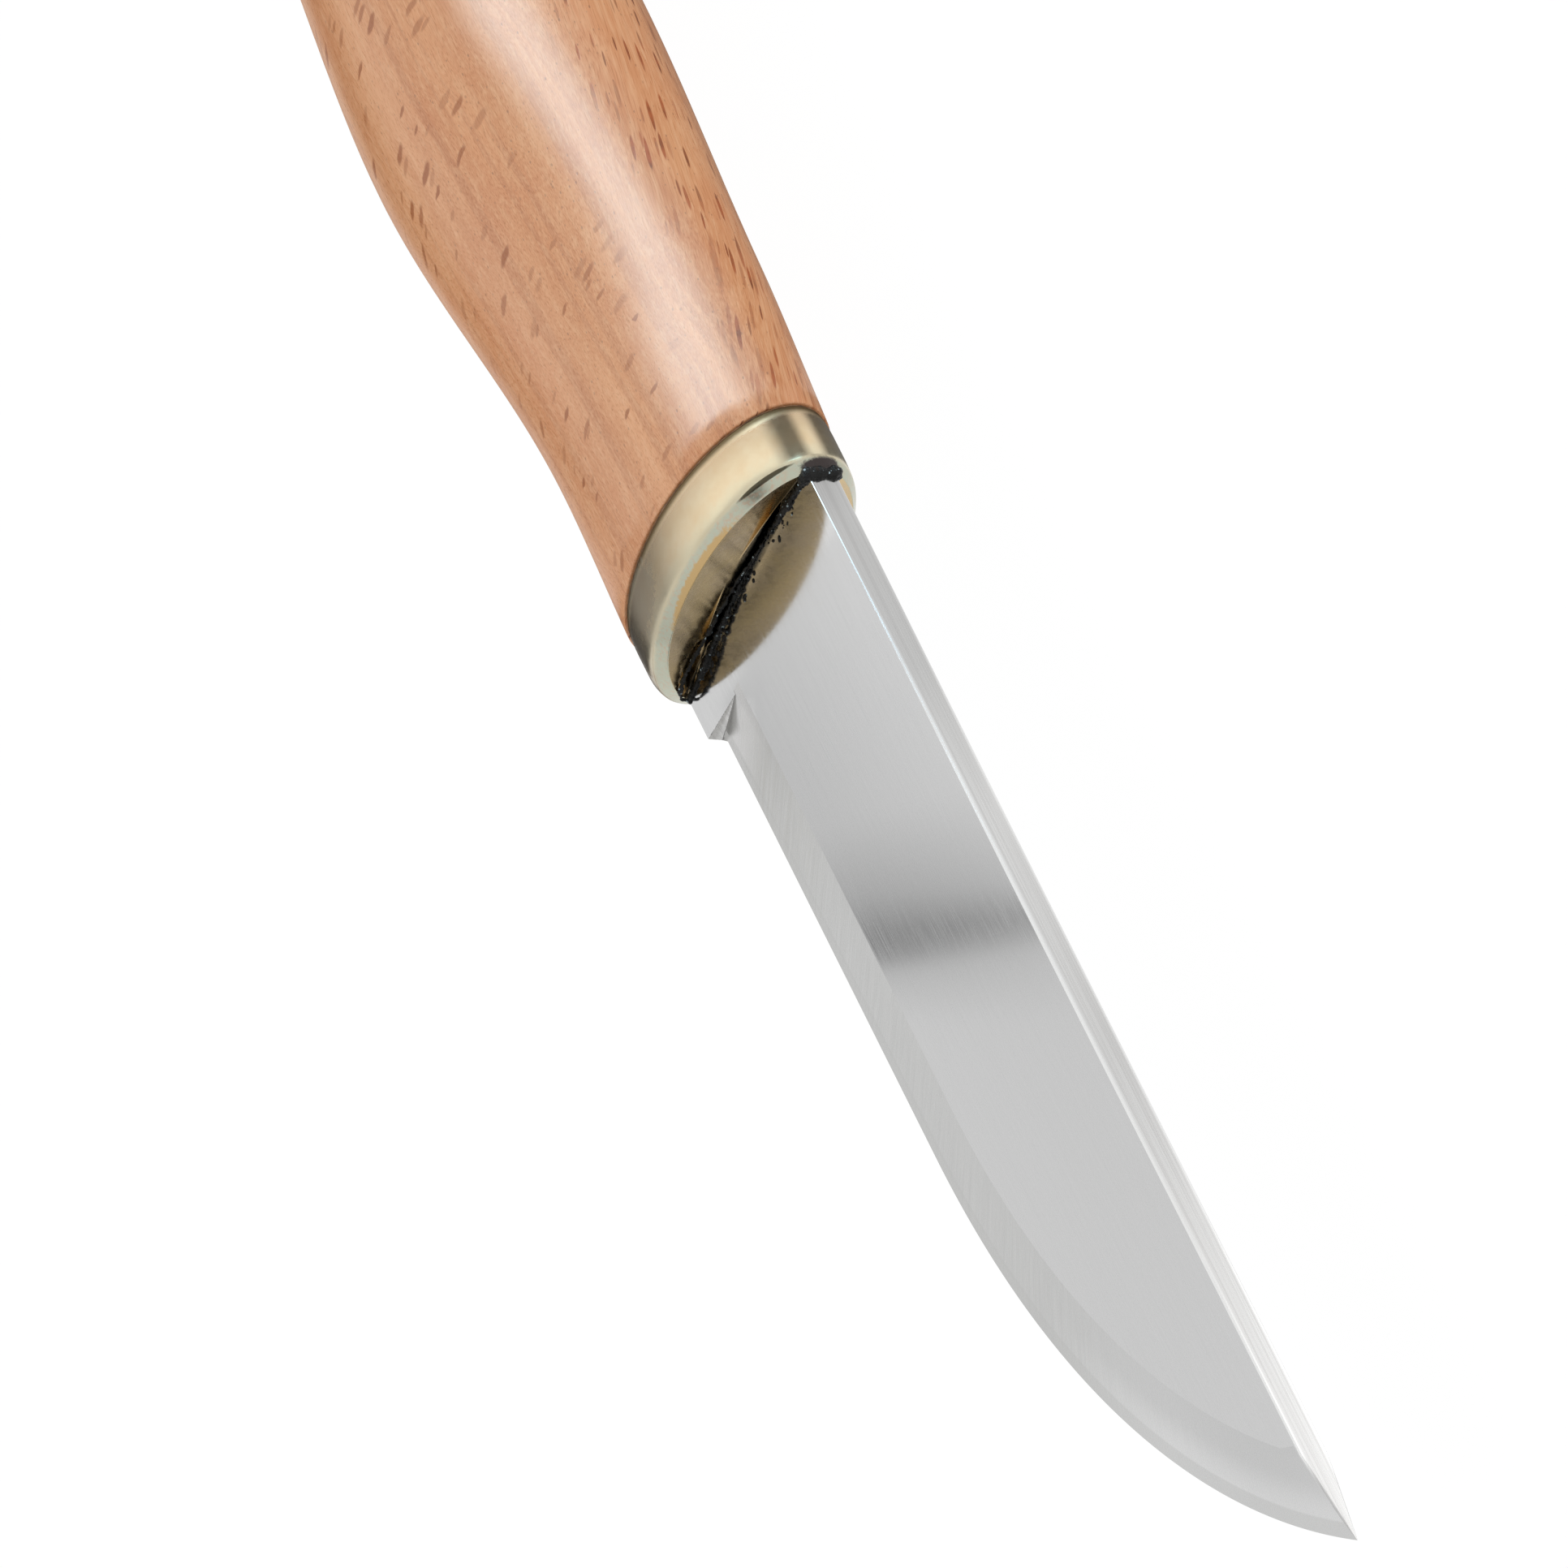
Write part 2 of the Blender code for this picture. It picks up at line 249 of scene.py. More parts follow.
def rgb(red, green, blue):
    # a colour as it is seen on a screen, from 0 to 255, as shader light
    return tuple(((c / 255 + 0.055) / 1.055) ** 2.4 for c in (red, green, blue)) + (1.0,)


def tinted(share, a, b):
    # from one colour to another; three plain numbers are a screen colour
    a, b = (rgb(*c) if isinstance(c, tuple) and len(c) == 3 else c for c in (a, b))
    return addNode(share.id_data, "ShaderNodeMix", {0: share, 6: a, 7: b}, data_type="RGBA").outputs[2]


def layered(colour, look, *layers):
    # lays named colours over one another, each through its mask
    for mask, name in layers:
        colour = tinted(mask, colour, look[name])
    return colour


def noised(place, size, detail):
    sockets = {"Vector": place, "Scale": 1 / size, "Detail": detail}
    return addNode(place.id_data, "ShaderNodeTexNoise", sockets).outputs


def bumped(strength, distance, height):
    sockets = {"Strength": strength, "Distance": distance, "Height": height}
    return addNode(height.id_data, "ShaderNodeBump", sockets).outputs[0]


def startGroup(name, output, **inputs):
    # inputs with their defaults, and one output
    tree = bpy.data.node_groups.new(name, "ShaderNodeTree")
    for label, value in {"Coordinate": (0.0, 0.0, 0.0), **inputs}.items():
        kind = "NodeSocketVector" if isinstance(value, tuple) else "NodeSocketFloat"
        tree.interface.new_socket(label, in_out="INPUT", socket_type=kind).default_value = value
    tree.interface.new_socket(output, in_out="OUTPUT", socket_type="NodeSocketFloat")
    return tree, tree.nodes.new("NodeGroupInput").outputs, tree.nodes.new("NodeGroupOutput").inputs[0]


def useGroup(group, **sockets):
    return fill(addNode(sockets["Coordinate"].id_data, "ShaderNodeGroup", node_tree=group), sockets).outputs[0]


def startMaterial(name):
    made = bpy.data.materials.new(name)
    made.use_nodes = True
    tree = made.node_tree
    return made, tree, tree.nodes["Principled BSDF"]


def placeOnPiece(tree):
    return addNode(tree, "ShaderNodeTexCoord").outputs["Object"]


def turned(vector, degrees, axis="Z_AXIS"):
    sockets = {"Vector": vector, "Angle": math.radians(degrees)}
    return addNode(vector.id_data, "ShaderNodeVectorRotate", sockets, rotation_type=axis).outputs[0]


def painted(tree, name):
    return addNode(tree, "ShaderNodeAttribute", attribute_name=name).outputs["Fac"]


# shared effects: stretched lines, soft blotches, flecks, dashes and ragged patches

def inUnits(given):
    # the place, counted in the size of one line or mark
    sizes = joined(given["Length"], given["Width"], given["Depth"])
    return vectorMaths("DIVIDE", given["Coordinate"], sizes)


def makeLines():
    tree, given, out = startGroup("stretchedLines", "Lines", Length=0.01, Width=0.0001, Depth=0.0001, Contrast=0.2)
    grain = noised(inUnits(given), 1.0, 3.0)[0]
    tree.links.new(ranged(grain, minus(0.5, given["Contrast"]), plus(0.5, given["Contrast"])), out)
    return tree


def cloudy(place, size, rough):
    sockets = {"Vector": place, "Scale": maths("DIVIDE", 1.0, size), "Detail": 4.0, "Roughness": rough}
    return addNode(place.id_data, "ShaderNodeTexNoise", sockets).outputs[0]


def makeBlotches():
    tree, given, out = startGroup("softBlotches", "Mask", Size=0.005, Cover=0.5, Softness=0.1)
    cloud = cloudy(given["Coordinate"], given["Size"], 0.6)
    level = minus(1.0, given["Cover"])
    tree.links.new(ranged(cloud, minus(level, given["Softness"]), plus(level, given["Softness"])), out)
    return tree


def makeMarks(name, dimensions, smallest, faintest, **inputs):
    # at most one mark to a cell, each with its own size and strength
    tree, given, out = startGroup(name, "Mask", **inputs)
    sockets = {"Vector": inUnits(given), "Scale": 1.0}
    cells = addNode(tree, "ShaderNodeTexVoronoi", sockets, voronoi_dimensions=dimensions)
    chance = addNode(tree, "ShaderNodeSeparateColor", {0: cells.outputs["Color"]}).outputs
    present = maths("LESS_THAN", chance[0], given["Share"])
    size = times(ranged(chance[1], 0.0, 1.0, smallest, 1.1), given["Fill"])
    inner = times(size, minus(1.0, given["Soft"]))
    shape = ranged(cells.outputs["Distance"], inner, size, 1.0, 0.0)
    strength = ranged(chance[2], 0.0, 1.0, faintest, 1.0)
    tree.links.new(times(times(shape, present), strength), out)
    return tree


def makePatch():
    tree, given, out = startGroup("raggedPatch", "Mask", Centre=(0.0, 0.0, 0.0), Reach=(0.002, 0.002, 0.002),
                                  Ragged=0.4, Grit=0.0006)
    away = vectorMaths("SUBTRACT", given["Coordinate"], given["Centre"])
    scaled = vectorMaths("DIVIDE", away, given["Reach"])
    far = addNode(tree, "ShaderNodeVectorMath", {0: scaled}, operation="LENGTH").outputs["Value"]
    grit = cloudy(given["Coordinate"], given["Grit"], 0.7)
    push = times(minus(grit, 0.5), given["Ragged"])
    tree.links.new(ranged(plus(far, push), 0.75, 1.05, 1.0, 0.0), out)
    return tree


stretchedLines = makeLines()
softBlotches = makeBlotches()
spindleFlecks = makeMarks("spindleFlecks", "3D", 0.45, 0.45, Length=0.004, Width=0.0005, Depth=0.004, Fill=0.25,
                          Share=0.7, Soft=0.55)
taperedDashes = makeMarks("taperedDashes", "2D", 0.5, 0.4, Length=0.003, Width=0.0003, Depth=1.0, Fill=0.3,
                          Share=0.3, Soft=0.5)
raggedPatch = makePatch()


def lined(place, length, width, depth, contrast):
    return useGroup(stretchedLines, Coordinate=place, Length=length, Width=width, Depth=depth, Contrast=contrast)


def blotched(place, size, cover, softness):
    return useGroup(softBlotches, Coordinate=place, Size=size, Cover=cover, Softness=softness)


def flecked(place, length, width, fillShare, share):
    return useGroup(spindleFlecks, Coordinate=place, Length=length, Width=width, Depth=width, Fill=fillShare,
                    Share=share)


print("shared shader groups made")


# blade: satin flats, ground bevel with a fine second bevel, and a two-step plunge

bladeShape = dict(
    shoulderX=-1.4 * mm,
    heelStep=0.5 * mm,             # what the grind takes off the underside
    straightEdge=48.5 * mm,        # lip to where the edge starts to curve up
    bevelWidth=5.86 * mm,
    landHalf=0.03 * mm,
    fineBevel=inMm(0.9, 1.7),  # width of the second bevel, on the straight and at the tip
    fineSteeper=1.16,
    spineRound=inMm(0.16, 0.66, 0.25),  # corner at the ferrule, half way and near the tip
    spinePlaces=(0.0, 0.4, 0.85),  # where those are, as shares of the blade's length
    spineSquat=0.4,                # how far that corner runs down the flat, as a share of its run over the spine
    plungeApex=inMm(4.62, -6.45),
    plungeTop=inMm(4.25, -11.9),
    plungeRidge=inMm(4.64, -11.75),
    ridgeHeight=0.22 * mm,         # of the ridge's low end, from the middle of the blade
    scoopSide=((4.75, -6.4), (5.3, -7.1), (5.85, -7.7), (6.7, -8.45), (6.75, -8.8), (5.08, -11.4)),
    plungeEnd=5.05 * mm,           # where the edge starts
    bevelStart=9.0 * mm,           # where the bevel's top has its full depth
    tipGap=0.1 * mm,               # from the last ring to the tip
    tangHeight=12.0 * mm,
    tangEndHeight=6.5 * mm,
    tangHalfThick=1.15 * mm,
)

edgeLine = heelY + bladeShape["heelStep"]
edgeRise = spineY - edgeLine
bellyRadius = ((tipX - bladeShape["straightEdge"]) ** 2 + edgeRise**2) / (2 * edgeRise)
bellyCentreY = edgeLine + bellyRadius


def insetLine(x, inset):
    # height of a line that runs this far inside the edge, measured square to it
    run = max(0.0, x - bladeShape["straightEdge"])
    return bellyCentreY - math.sqrt((bellyRadius - inset) ** 2 - run**2)


def fineWidth(x):
    narrow, wide = bladeShape["fineBevel"]
    return mixed(narrow, wide, eased(x, bladeShape["straightEdge"], tipX))


def bevelHeight(x, y):
    shape = bladeShape
    if x <= shape["straightEdge"]:
        inward = y - edgeLine
    else:
        inward = bellyRadius - math.hypot(x - shape["straightEdge"], bellyCentreY - y)
    land, width, fine = shape["landHalf"], shape["bevelWidth"], fineWidth(x)
    slope = (halfThick - land) / width * shape["fineSteeper"]
    if inward <= fine:
        return land + slope * max(0.0, inward)
    start = land + slope * fine
    drop = halfThick - (start + (halfThick - start) * (inward - fine) / (width - fine))
    # beside the plunge the bevel's top fades into the flat
    aboveApex = (halfThick - start) * (edgeLine + width - shape["plungeApex"][1]) / (width - fine)
    faded = min(max(drop, 0.0), aboveApex) * (1 - eased(x, shape["plungeTop"][0], shape["bevelStart"]))
    return halfThick - drop + faded


def along(points, y):
    # x on a line of points that runs down the blade
    for (x0, y0), (x1, y1) in zip(points, points[1:]):
        if y >= y1:
            return mixed(x0, x1, (y - y0) / (y1 - y0))
    return points[-1][0]


wallLine = (bladeShape["plungeApex"], bladeShape["plungeTop"])
ridgeLine = (bladeShape["plungeApex"], bladeShape["plungeRidge"])
scoopLine = [(x * mm, y * mm) for x, y in bladeShape["scoopSide"]]


def plungePlace(x, y):
    # 0 to 1 across the steep wall, 1 to 2 across the scoop beside it, or None off the plunge
    if y > bladeShape["plungeApex"][1] or x > max(scoopLine)[0]:
        return None
    wall, ridge, side = along(wallLine, y), along(ridgeLine, y), along(scoopLine, y)
    if wall <= x <= ridge:
        return (x - wall) / max(ridge - wall, 1e-6)
    if ridge < x < side:
        return 1 + (x - ridge) / (side - ridge)
    return 0.0 if x < wall else None


def faceHeight(x, y):
    shape = bladeShape
    height = min(halfThick, bevelHeight(x, y))
    place = plungePlace(x, y)
    if place is None:
        return height if x > shape["plungeTop"][0] else halfThick
    apexY = shape["plungeApex"][1]
    drop = (apexY - y) / (apexY - shape["plungeRidge"][1])
    ridge = mixed(halfThick, shape["ridgeHeight"], min(1.0, drop))
    if place <= 1:
        return mixed(halfThick, ridge, place)
    proud = max(0.0, ridge - min(halfThick, bevelHeight(along(ridgeLine, y), y)))
    return min(halfThick, height + proud * (2 - place) ** 2)


def bottomLine(x):
    start, end = bladeShape["plungeTop"][0], bladeShape["plungeEnd"]
    if x <= start:
        return heelY
    if x < end:
        return mixed(heelY, edgeLine, (x - start) / (end - start))
    return insetLine(x, 0.0)


bladeRows = dict(arc=12, flat=5, bevel=90, fine=6)
bladeStations = dict(
    heel=inMm(0, 2, 4),
    plunge=((4.2, 5.1, 44), (5.1, 6.6, 24)),  # start and end in mm, and how many between them
    straight=14,
    belly=48,
    tip=16,
)


def bladeSection(x):
    # (y, z) down the right face, from beside the spine's middle to the edge
    shape = bladeShape
    rows = bladeRows
    top = faceHeight(x, spineY)
    places = [tipX * share for share in shape["spinePlaces"]]
    corner = min(smoothThrough(places, shape["spineRound"], min(max(x, 0.0), places[-1])), 0.6 * top)
    down = corner * shape["spineSquat"]
    points = [(spineY, (top - corner) / 2)]
    for turn in stepsTo(0.0, quarterTurn, rows["arc"]):
        points.append((spineY - down * (1 - math.cos(turn)), top - corner * (1 - math.sin(turn))))
    low = bottomLine(x)
    start = spineY - down
    bevelY = min(insetLine(x, shape["bevelWidth"]) if x < tipX * 0.9 else start, mixed(start, low, 0.02))
    fineY = min(insetLine(x, fineWidth(x)), mixed(bevelY, low, 0.5))
    levels = steps(start, bevelY, rows["flat"])[1:] + steps(bevelY, fineY, rows["bevel"])
    levels += steps(fineY, low, rows["fine"]) + [low]
    return points + [(y, faceHeight(x, y)) for y in levels]


def tangSection(height):
    # the same points as a blade section, drawn in to the tang's size
    pattern = bladeSection(0.0)
    shrink = height / (spineY - heelY)
    middle = (spineY + heelY) / 2
    thin = bladeShape["tangHalfThick"]
    return [((y - middle) * shrink, min(z, thin)) for y, z in pattern]


def bladeRing(x, section):
    right = [Vector((x, y, z)) for y, z in section]
    left = [Vector((x, y, -z)) for y, z in reversed(section)]
    return [Vector((x, section[0][0], 0.0))] + right + left


def buildBlade(materials):
    shape = bladeShape
    runOut = shape["straightEdge"] + math.sqrt(
        (bellyRadius - shape["bevelWidth"]) ** 2 - (bellyCentreY - spineY) ** 2
    )
    counts = bladeStations
    stations = [shape["shoulderX"], *counts["heel"]]
    for start, end, number in counts["plunge"]:
        stations += steps(start * mm, end * mm, number)
    stations += steps(end * mm, shape["straightEdge"], counts["straight"])
    stations += steps(shape["straightEdge"], runOut, counts["belly"])
    stations += stepsTo(runOut, tipX - shape["tipGap"], counts["tip"])
    rings = [
        bladeRing(tangEndX, tangSection(shape["tangEndHeight"])),
        bladeRing(shape["shoulderX"], tangSection(shape["tangHeight"])),
    ]
    rings += [bladeRing(x, bladeSection(x)) for x in stations]
    work = skin(rings, capStart=True, apex=(tipX, spineY, 0.0))
    arcEnd = 2 + bladeRows["arc"]
    flatEnd = arcEnd + bladeRows["flat"]
    count = len(rings[0])
    work.verts.ensure_lookup_table()
    work.verts.index_update()

    def fromSpine(vert):
        # place in the ring, counted from the spine down either face
        place = vert.index % count
        return min(place, count - place)

    def onCorner(edge):
        a, b = (fromSpine(v) for v in edge.verts)
        return 1 <= min(a, b) and max(a, b) <= arcEnd and a != b

    sharpen(work, math.radians(6), onCorner)
    acrossLayer = work.verts.layers.float.new("fromEdge")
    alongLayer = work.verts.layers.float.new("alongEdge")
    plungeLayer = work.verts.layers.float.new("plunge")
    for vert in work.verts:
        x, y, _ = vert.co
        run = max(0.0, x - shape["straightEdge"])
        away = math.hypot(run, bellyCentreY - y) if run else bellyCentreY - y
        vert[acrossLayer] = bellyRadius - away
        vert[alongLayer] = x if not run else shape["straightEdge"] + bellyRadius * math.atan2(run, bellyCentreY - y)
        place = plungePlace(x, y)
        vert[plungeLayer] = 2.0 if place is None else place
    for face in work.faces:
        low = max(fromSpine(v) for v in face.verts)
        middle = face.calc_center_median()
        place = plungePlace(middle.x, middle.y)
        if low <= arcEnd:
            face.material_index = 1
        elif middle.x > shape["plungeTop"][0] and place is not None and 0 < place < 1:
            face.material_index = 3
        elif middle.x > shape["plungeTop"][0] and low > flatEnd and place != 0:
            face.material_index = 2
    setDown("groundBlade", work, materials, "blade_steel", "blade")


steelLook = dict(
    flat=dict(colour=(206, 206, 206), streak=(202, 202, 202), rough=(0.13, 0.21), length=7 * mm,
              width=0.05 * mm, depth=0.1, way="length"),
    # the spine's corner colour is a painted highlight where spine and flat meet
    spine=dict(colour=(200, 200, 199), streak=(184, 183, 182), rough=(0.2, 0.28), length=22 * mm,
               width=0.10 * mm, depth=0.15, way="length", corner=(230, 230, 229)),
    # painted shade in the scoop, and on the wall at its foot: the colour and the stretch of the plunge
    bevel=dict(colour=(192, 192, 191), streak=(183, 183, 182), rough=(0.2, 0.3), length=5.0 * mm,
               width=0.07 * mm, depth=0.2, way="across", shade=(150, 149, 146), shaded=(1.4, 1.98)),
    wall=dict(colour=(236, 235, 232), streak=(214, 213, 210), rough=(0.26, 0.36), length=3.0 * mm,
              width=0.10 * mm, depth=0.3, way="across", shade=(168, 167, 164), shaded=(0.3, 0.85)),
)
# bevel colours: painted shade on the coarse grind near the heel, painted light beside the plunge and at the tip's
# edge
grindLook = dict(
    shadedCoarseGrind=(180, 179, 176),
    besidePlunge=(207, 206, 205),
    tipEdge=(211, 211, 211),
    tipTop=(196, 196, 196),
    fineBevel=(176, 176, 174),
)


def satinSteel(name, look):
    made, tree, shader = startMaterial(name)
    place = placeOnPiece(tree)
    fromEdge, alongEdge = painted(tree, "fromEdge"), painted(tree, "alongEdge")
    if look["way"] == "across":  # grinding lines run a little askew from edge to flat
        place = joined(fromEdge, plus(alongEdge, times(fromEdge, 0.3)))

    def scored(length, width, contrast):
        return lined(place, length, width, width, contrast)

    lines = scored(look["length"], look["width"], 0.2)
    broad = scored(look["length"] * 2.5, look["width"] * 8, 0.3)
    both = plus(times(lines, 0.6), times(broad, 0.4))
    colour = tinted(both, look["streak"], look["colour"])
    rough = ranged(lines, 0.25, 0.75, *reversed(look["rough"]))
    if look["way"] == "across":
        # coarse grind streaks where the grind starts, darkened there as painted shade; painted light beside the
        # plunge and along the tip's edge
        coarse = ranged(scored(9 * mm, 0.5 * mm, 0.25), 0.0, 1.0, 0.25, 0.95)
        colour = layered(
            colour, grindLook,
            (times(ranged(alongEdge, 10 * mm, 28 * mm, 1.0, 0.0), coarse), "shadedCoarseGrind"),
            (ranged(alongEdge, 6 * mm, 12 * mm, 0.9, 0.0), "besidePlunge"),
        )
        nearTip = tinted(ranged(fromEdge, 1.5 * mm, 4.2 * mm), grindLook["tipEdge"], grindLook["tipTop"])
        colour = tinted(ranged(alongEdge, 66 * mm, 92 * mm, 0.0, 0.85), colour, nearTip)
        # painted shade: darker in the scoop and at the foot of the plunge's wall
        shade = ranged(painted(tree, "plunge"), *look["shaded"], 1.0, 0.0)
        colour = tinted(times(shade, 0.85), colour, look["shade"])
        colour = layered(colour, grindLook, (ranged(fromEdge, 1.15 * mm, 1.35 * mm, 0.35, 0.0), "fineBevel"))
    else:
        # a few coarser scratches among the fine lines, and brighter by the ferrule, where the wheel doesn't reach
        fromLip, _, out = parted(place)
        scratches = scored(5 * mm, 0.06 * mm, 0.1)
        rough = plus(rough, ranged(scratches, 0.7, 1.0, 0.0, 0.08))
        rough = times(rough, ranged(fromLip, 5 * mm, 17 * mm, 0.58, 1.0))
        if "corner" in look:  # a painted highlight where spine and flat meet, weaker beside the ferrule
            cornerHighlight = ranged(maths("ABSOLUTE", out), halfThick - 0.48 * mm, halfThick - 0.06 * mm)
            cornerHighlight = times(cornerHighlight, ranged(fromLip, 8 * mm, 34 * mm, 0.3, 1.0))
            colour = tinted(cornerHighlight, colour, look["corner"])
    bump = bumped(look["depth"], 0.004 * mm, both)
    fill(shader, {"Base Color": colour, "Roughness": rough, "Metallic": 1.0, "Normal": bump})
    return made


buildBlade([satinSteel(zone + "Steel", look) for zone, look in steelLook.items()])


# ferrule: pressed and plated, with a chamfered rim and a dished front

ferruleShape = dict(
    wall=0.9 * mm,
    crown=((-6.3, 0.13), (-6.1, 0.07), (-5.6, 0.025), (-4.8, 0.0), (-3.0, 0.0)),  # x and how far drawn in, in mm
    leanX=-2.6 * mm,               # where the wall starts to lean in to the fold
    foldX=-0.95 * mm,
    # how far fold, lip and floor are drawn in from the wall, at top, bottom and side
    fold=inMm(0.05, 0.5, 0.1),
    lip=inMm(0.67, 1.87, 0.77),
    floor=inMm(3.72, 5.27, 4.65),
    dishDepth=1.05 * mm,
    slotGap=0.45 * mm,
    slotClimb=inMm(4, 13.6),       # above and below the widest level, where the slot climbs with the dish
    slotEndX=-0.1 * mm,
    frontWall=1.2 * mm,
    pocketMiddle=inMm(-9.2, 1.95),   # worn hollow beside the heel: height and width of its middle
    pocketReach=inMm(2.7, 0.6),
    pocketDepth=1.2 * mm,
    pocketFade=(0.72, 1.05),       # shares of that reach, from its full depth to none
    rows=dict(lean=10, fold=6, rim=5, lip=4, dish=26),
    around=224,
)


def ferruleRing(x, top, bottom, side):
    shape = ferruleShape
    return oval(x, halfHeight - top, -halfHeight + bottom, halfWidth - side, shape["around"])


def between(a, b, share):
    return tuple(mixed(p, q, share) for p, q in zip(a, b))


def bent(start, corner, end, t):
    # along a curve that rounds off a corner
    return between(between(start, corner, t), between(corner, end, t), t)


def ferruleProfile():
    # (x, top, bottom, side) drawn in from the wall, with the place: 0 to 1 wall, to 2 rim, to 3 dish
    shape = ferruleShape
    counts = shape["rows"]
    lean = (shape["leanX"], 0.0, 0.0, 0.0)
    fold = (shape["foldX"], *shape["fold"])
    lipEdge = (0.0, *shape["lip"])
    floor = (-shape["dishDepth"], *shape["floor"])
    rows = []
    for x, inset in shape["crown"]:
        rows.append(((x * mm, inset * mm, inset * mm, inset * mm), (x * mm - rearRimX) / -rearRimX))
    # the wall leans in a little, then folds into the rim
    for share in steps(0.0, 1.0, counts["lean"]):
        x = mixed(lean[0], fold[0], share)
        rows.append(((x, *(inset * share**2 for inset in fold[1:])), 0.6 + 0.33 * share))
    before, after = between(fold, lean, 0.09), between(fold, lipEdge, 0.2)
    for t in stepsTo(0.0, 1.0, counts["fold"]):
        rows.append((bent(before, fold, after, t), 0.95 + 0.15 * t))
    rimEnd = between(lipEdge, fold, 0.06)
    for share in stepsTo(0.0, 1.0, counts["rim"])[1:]:
        rows.append((between(after, rimEnd, share), 1.1 + 0.85 * share))
    dishStart = between(lipEdge, floor, 0.02)
    for t in steps(0.0, 1.0, counts["lip"])[1:]:
        rows.append((bent(rimEnd, lipEdge, dishStart, t), 1.95 + 0.1 * t))
    for share in stepsTo(0.0, 1.0, counts["dish"])[1:]:
        across = between(lipEdge, floor, share)
        depth = -shape["dishDepth"] * (1 - (1 - share) ** 1.35)
        rows.append(((depth, *across[1:]), 2.05 + 0.95 * share))
    return rows


def pocketDrop(y, z):
    shape = ferruleShape
    middleY, middleZ = shape["pocketMiddle"]
    reachY, reachZ = shape["pocketReach"]
    if z < 0:
        return 0.0
    far = math.hypot((y - middleY) / reachY, (z - middleZ) / reachZ)
    return shape["pocketDepth"] * (1 - eased(far, *shape["pocketFade"]))


def buildFerrule(material):
    shape = ferruleShape
    rows = ferruleProfile()
    rings = [ferruleRing(*row) for row, _ in rows]
    along = [place for _, place in rows]
    # the floor of the dish runs in to the slot
    slotTop, slotBottom = spineY + fitGap, heelY - fitGap
    slotSide = halfThick + shape["slotGap"]
    count = shape["around"]
    floorRing = rings[-1]
    slotFront = slotRing(-shape["dishDepth"], slotTop, slotBottom, slotSide, count)
    for point in slotFront:  # the slot's ends climb with the dish
        climb = eased(abs(point.y - widest), *shape["slotClimb"])
        point.x = mixed(-shape["dishDepth"], shape["slotEndX"], climb)
    for i in range(1, 5):
        rings.append([a.lerp(b, i / 5) for a, b in zip(floorRing, slotFront)])
        along.append(3.0 + 0.1 * i)
    rings.append(slotFront)
    along.append(3.5)
    insideX = -shape["dishDepth"] - shape["frontWall"]
    rings.append(slotRing(insideX, slotTop, slotBottom, slotSide, count))
    along.append(3.9)
    for x in (insideX, rearRimX):
        rings.append(ferruleRing(x, shape["wall"], shape["wall"], shape["wall"]))
        along.append(4.0)
    for ring, place in zip(rings, along):
        if 2.06 < place <= 3.5:
            for point in ring:
                point.x -= pocketDrop(point.y, point.z)
    work = skin(rings, loop=True)
    profile = work.verts.layers.float.new("profile")
    work.verts.ensure_lookup_table()
    for i, vert in enumerate(work.verts):
        vert[profile] = along[i // count]
    sharpen(work, math.radians(30))
    setDown("platedFerrule", work, [material], "plated_ferrule", "ferrule")


platingLook = dict(
    wallTan=(203, 182, 148),
    wallPale=(207, 190, 160),
    wallRear=(203, 177, 144),
    wallFront=(196, 188, 162),
    paintedCreaseShade=(54, 47, 30),
    slot=(56, 53, 46),
    rearRimShade=(104, 84, 54),
    rimGreen=(181, 184, 166),
    rimPink=(190, 172, 150),
    amber=(190, 161, 114),
    dishTan=(208, 184, 138),
    greyBloom=(160, 148, 132),
    brown=(128, 104, 72),
    residue=(40, 24, 20),
    grimeAndShade=(74, 68, 54),
    rough=0.22,
)
# middle, reach and grit in mm, and how ragged the patch is
platingPatches = dict(
    greyBloom=((-4.4, -5.6, 6.4), (2.4, 4.2, 3.0), 0.45, 1.4),
    brown=((-3.5, -13.0, 2.5), (6.0, 5.0, 4.4), 1.2, 0.5),
    amber=((0.0, 2.2, 5.9), (0.62, 6.8, 1.6), 0.4, 0.9),
    residue=((-0.2, 13.7, -0.25), (1.0, 0.9, 2.2), 0.4, 0.6),
    paintedCreaseShade=((-0.9, 11.6, 4.0), (0.2, 2.8, 2.8), 0.5, 0.25),
)


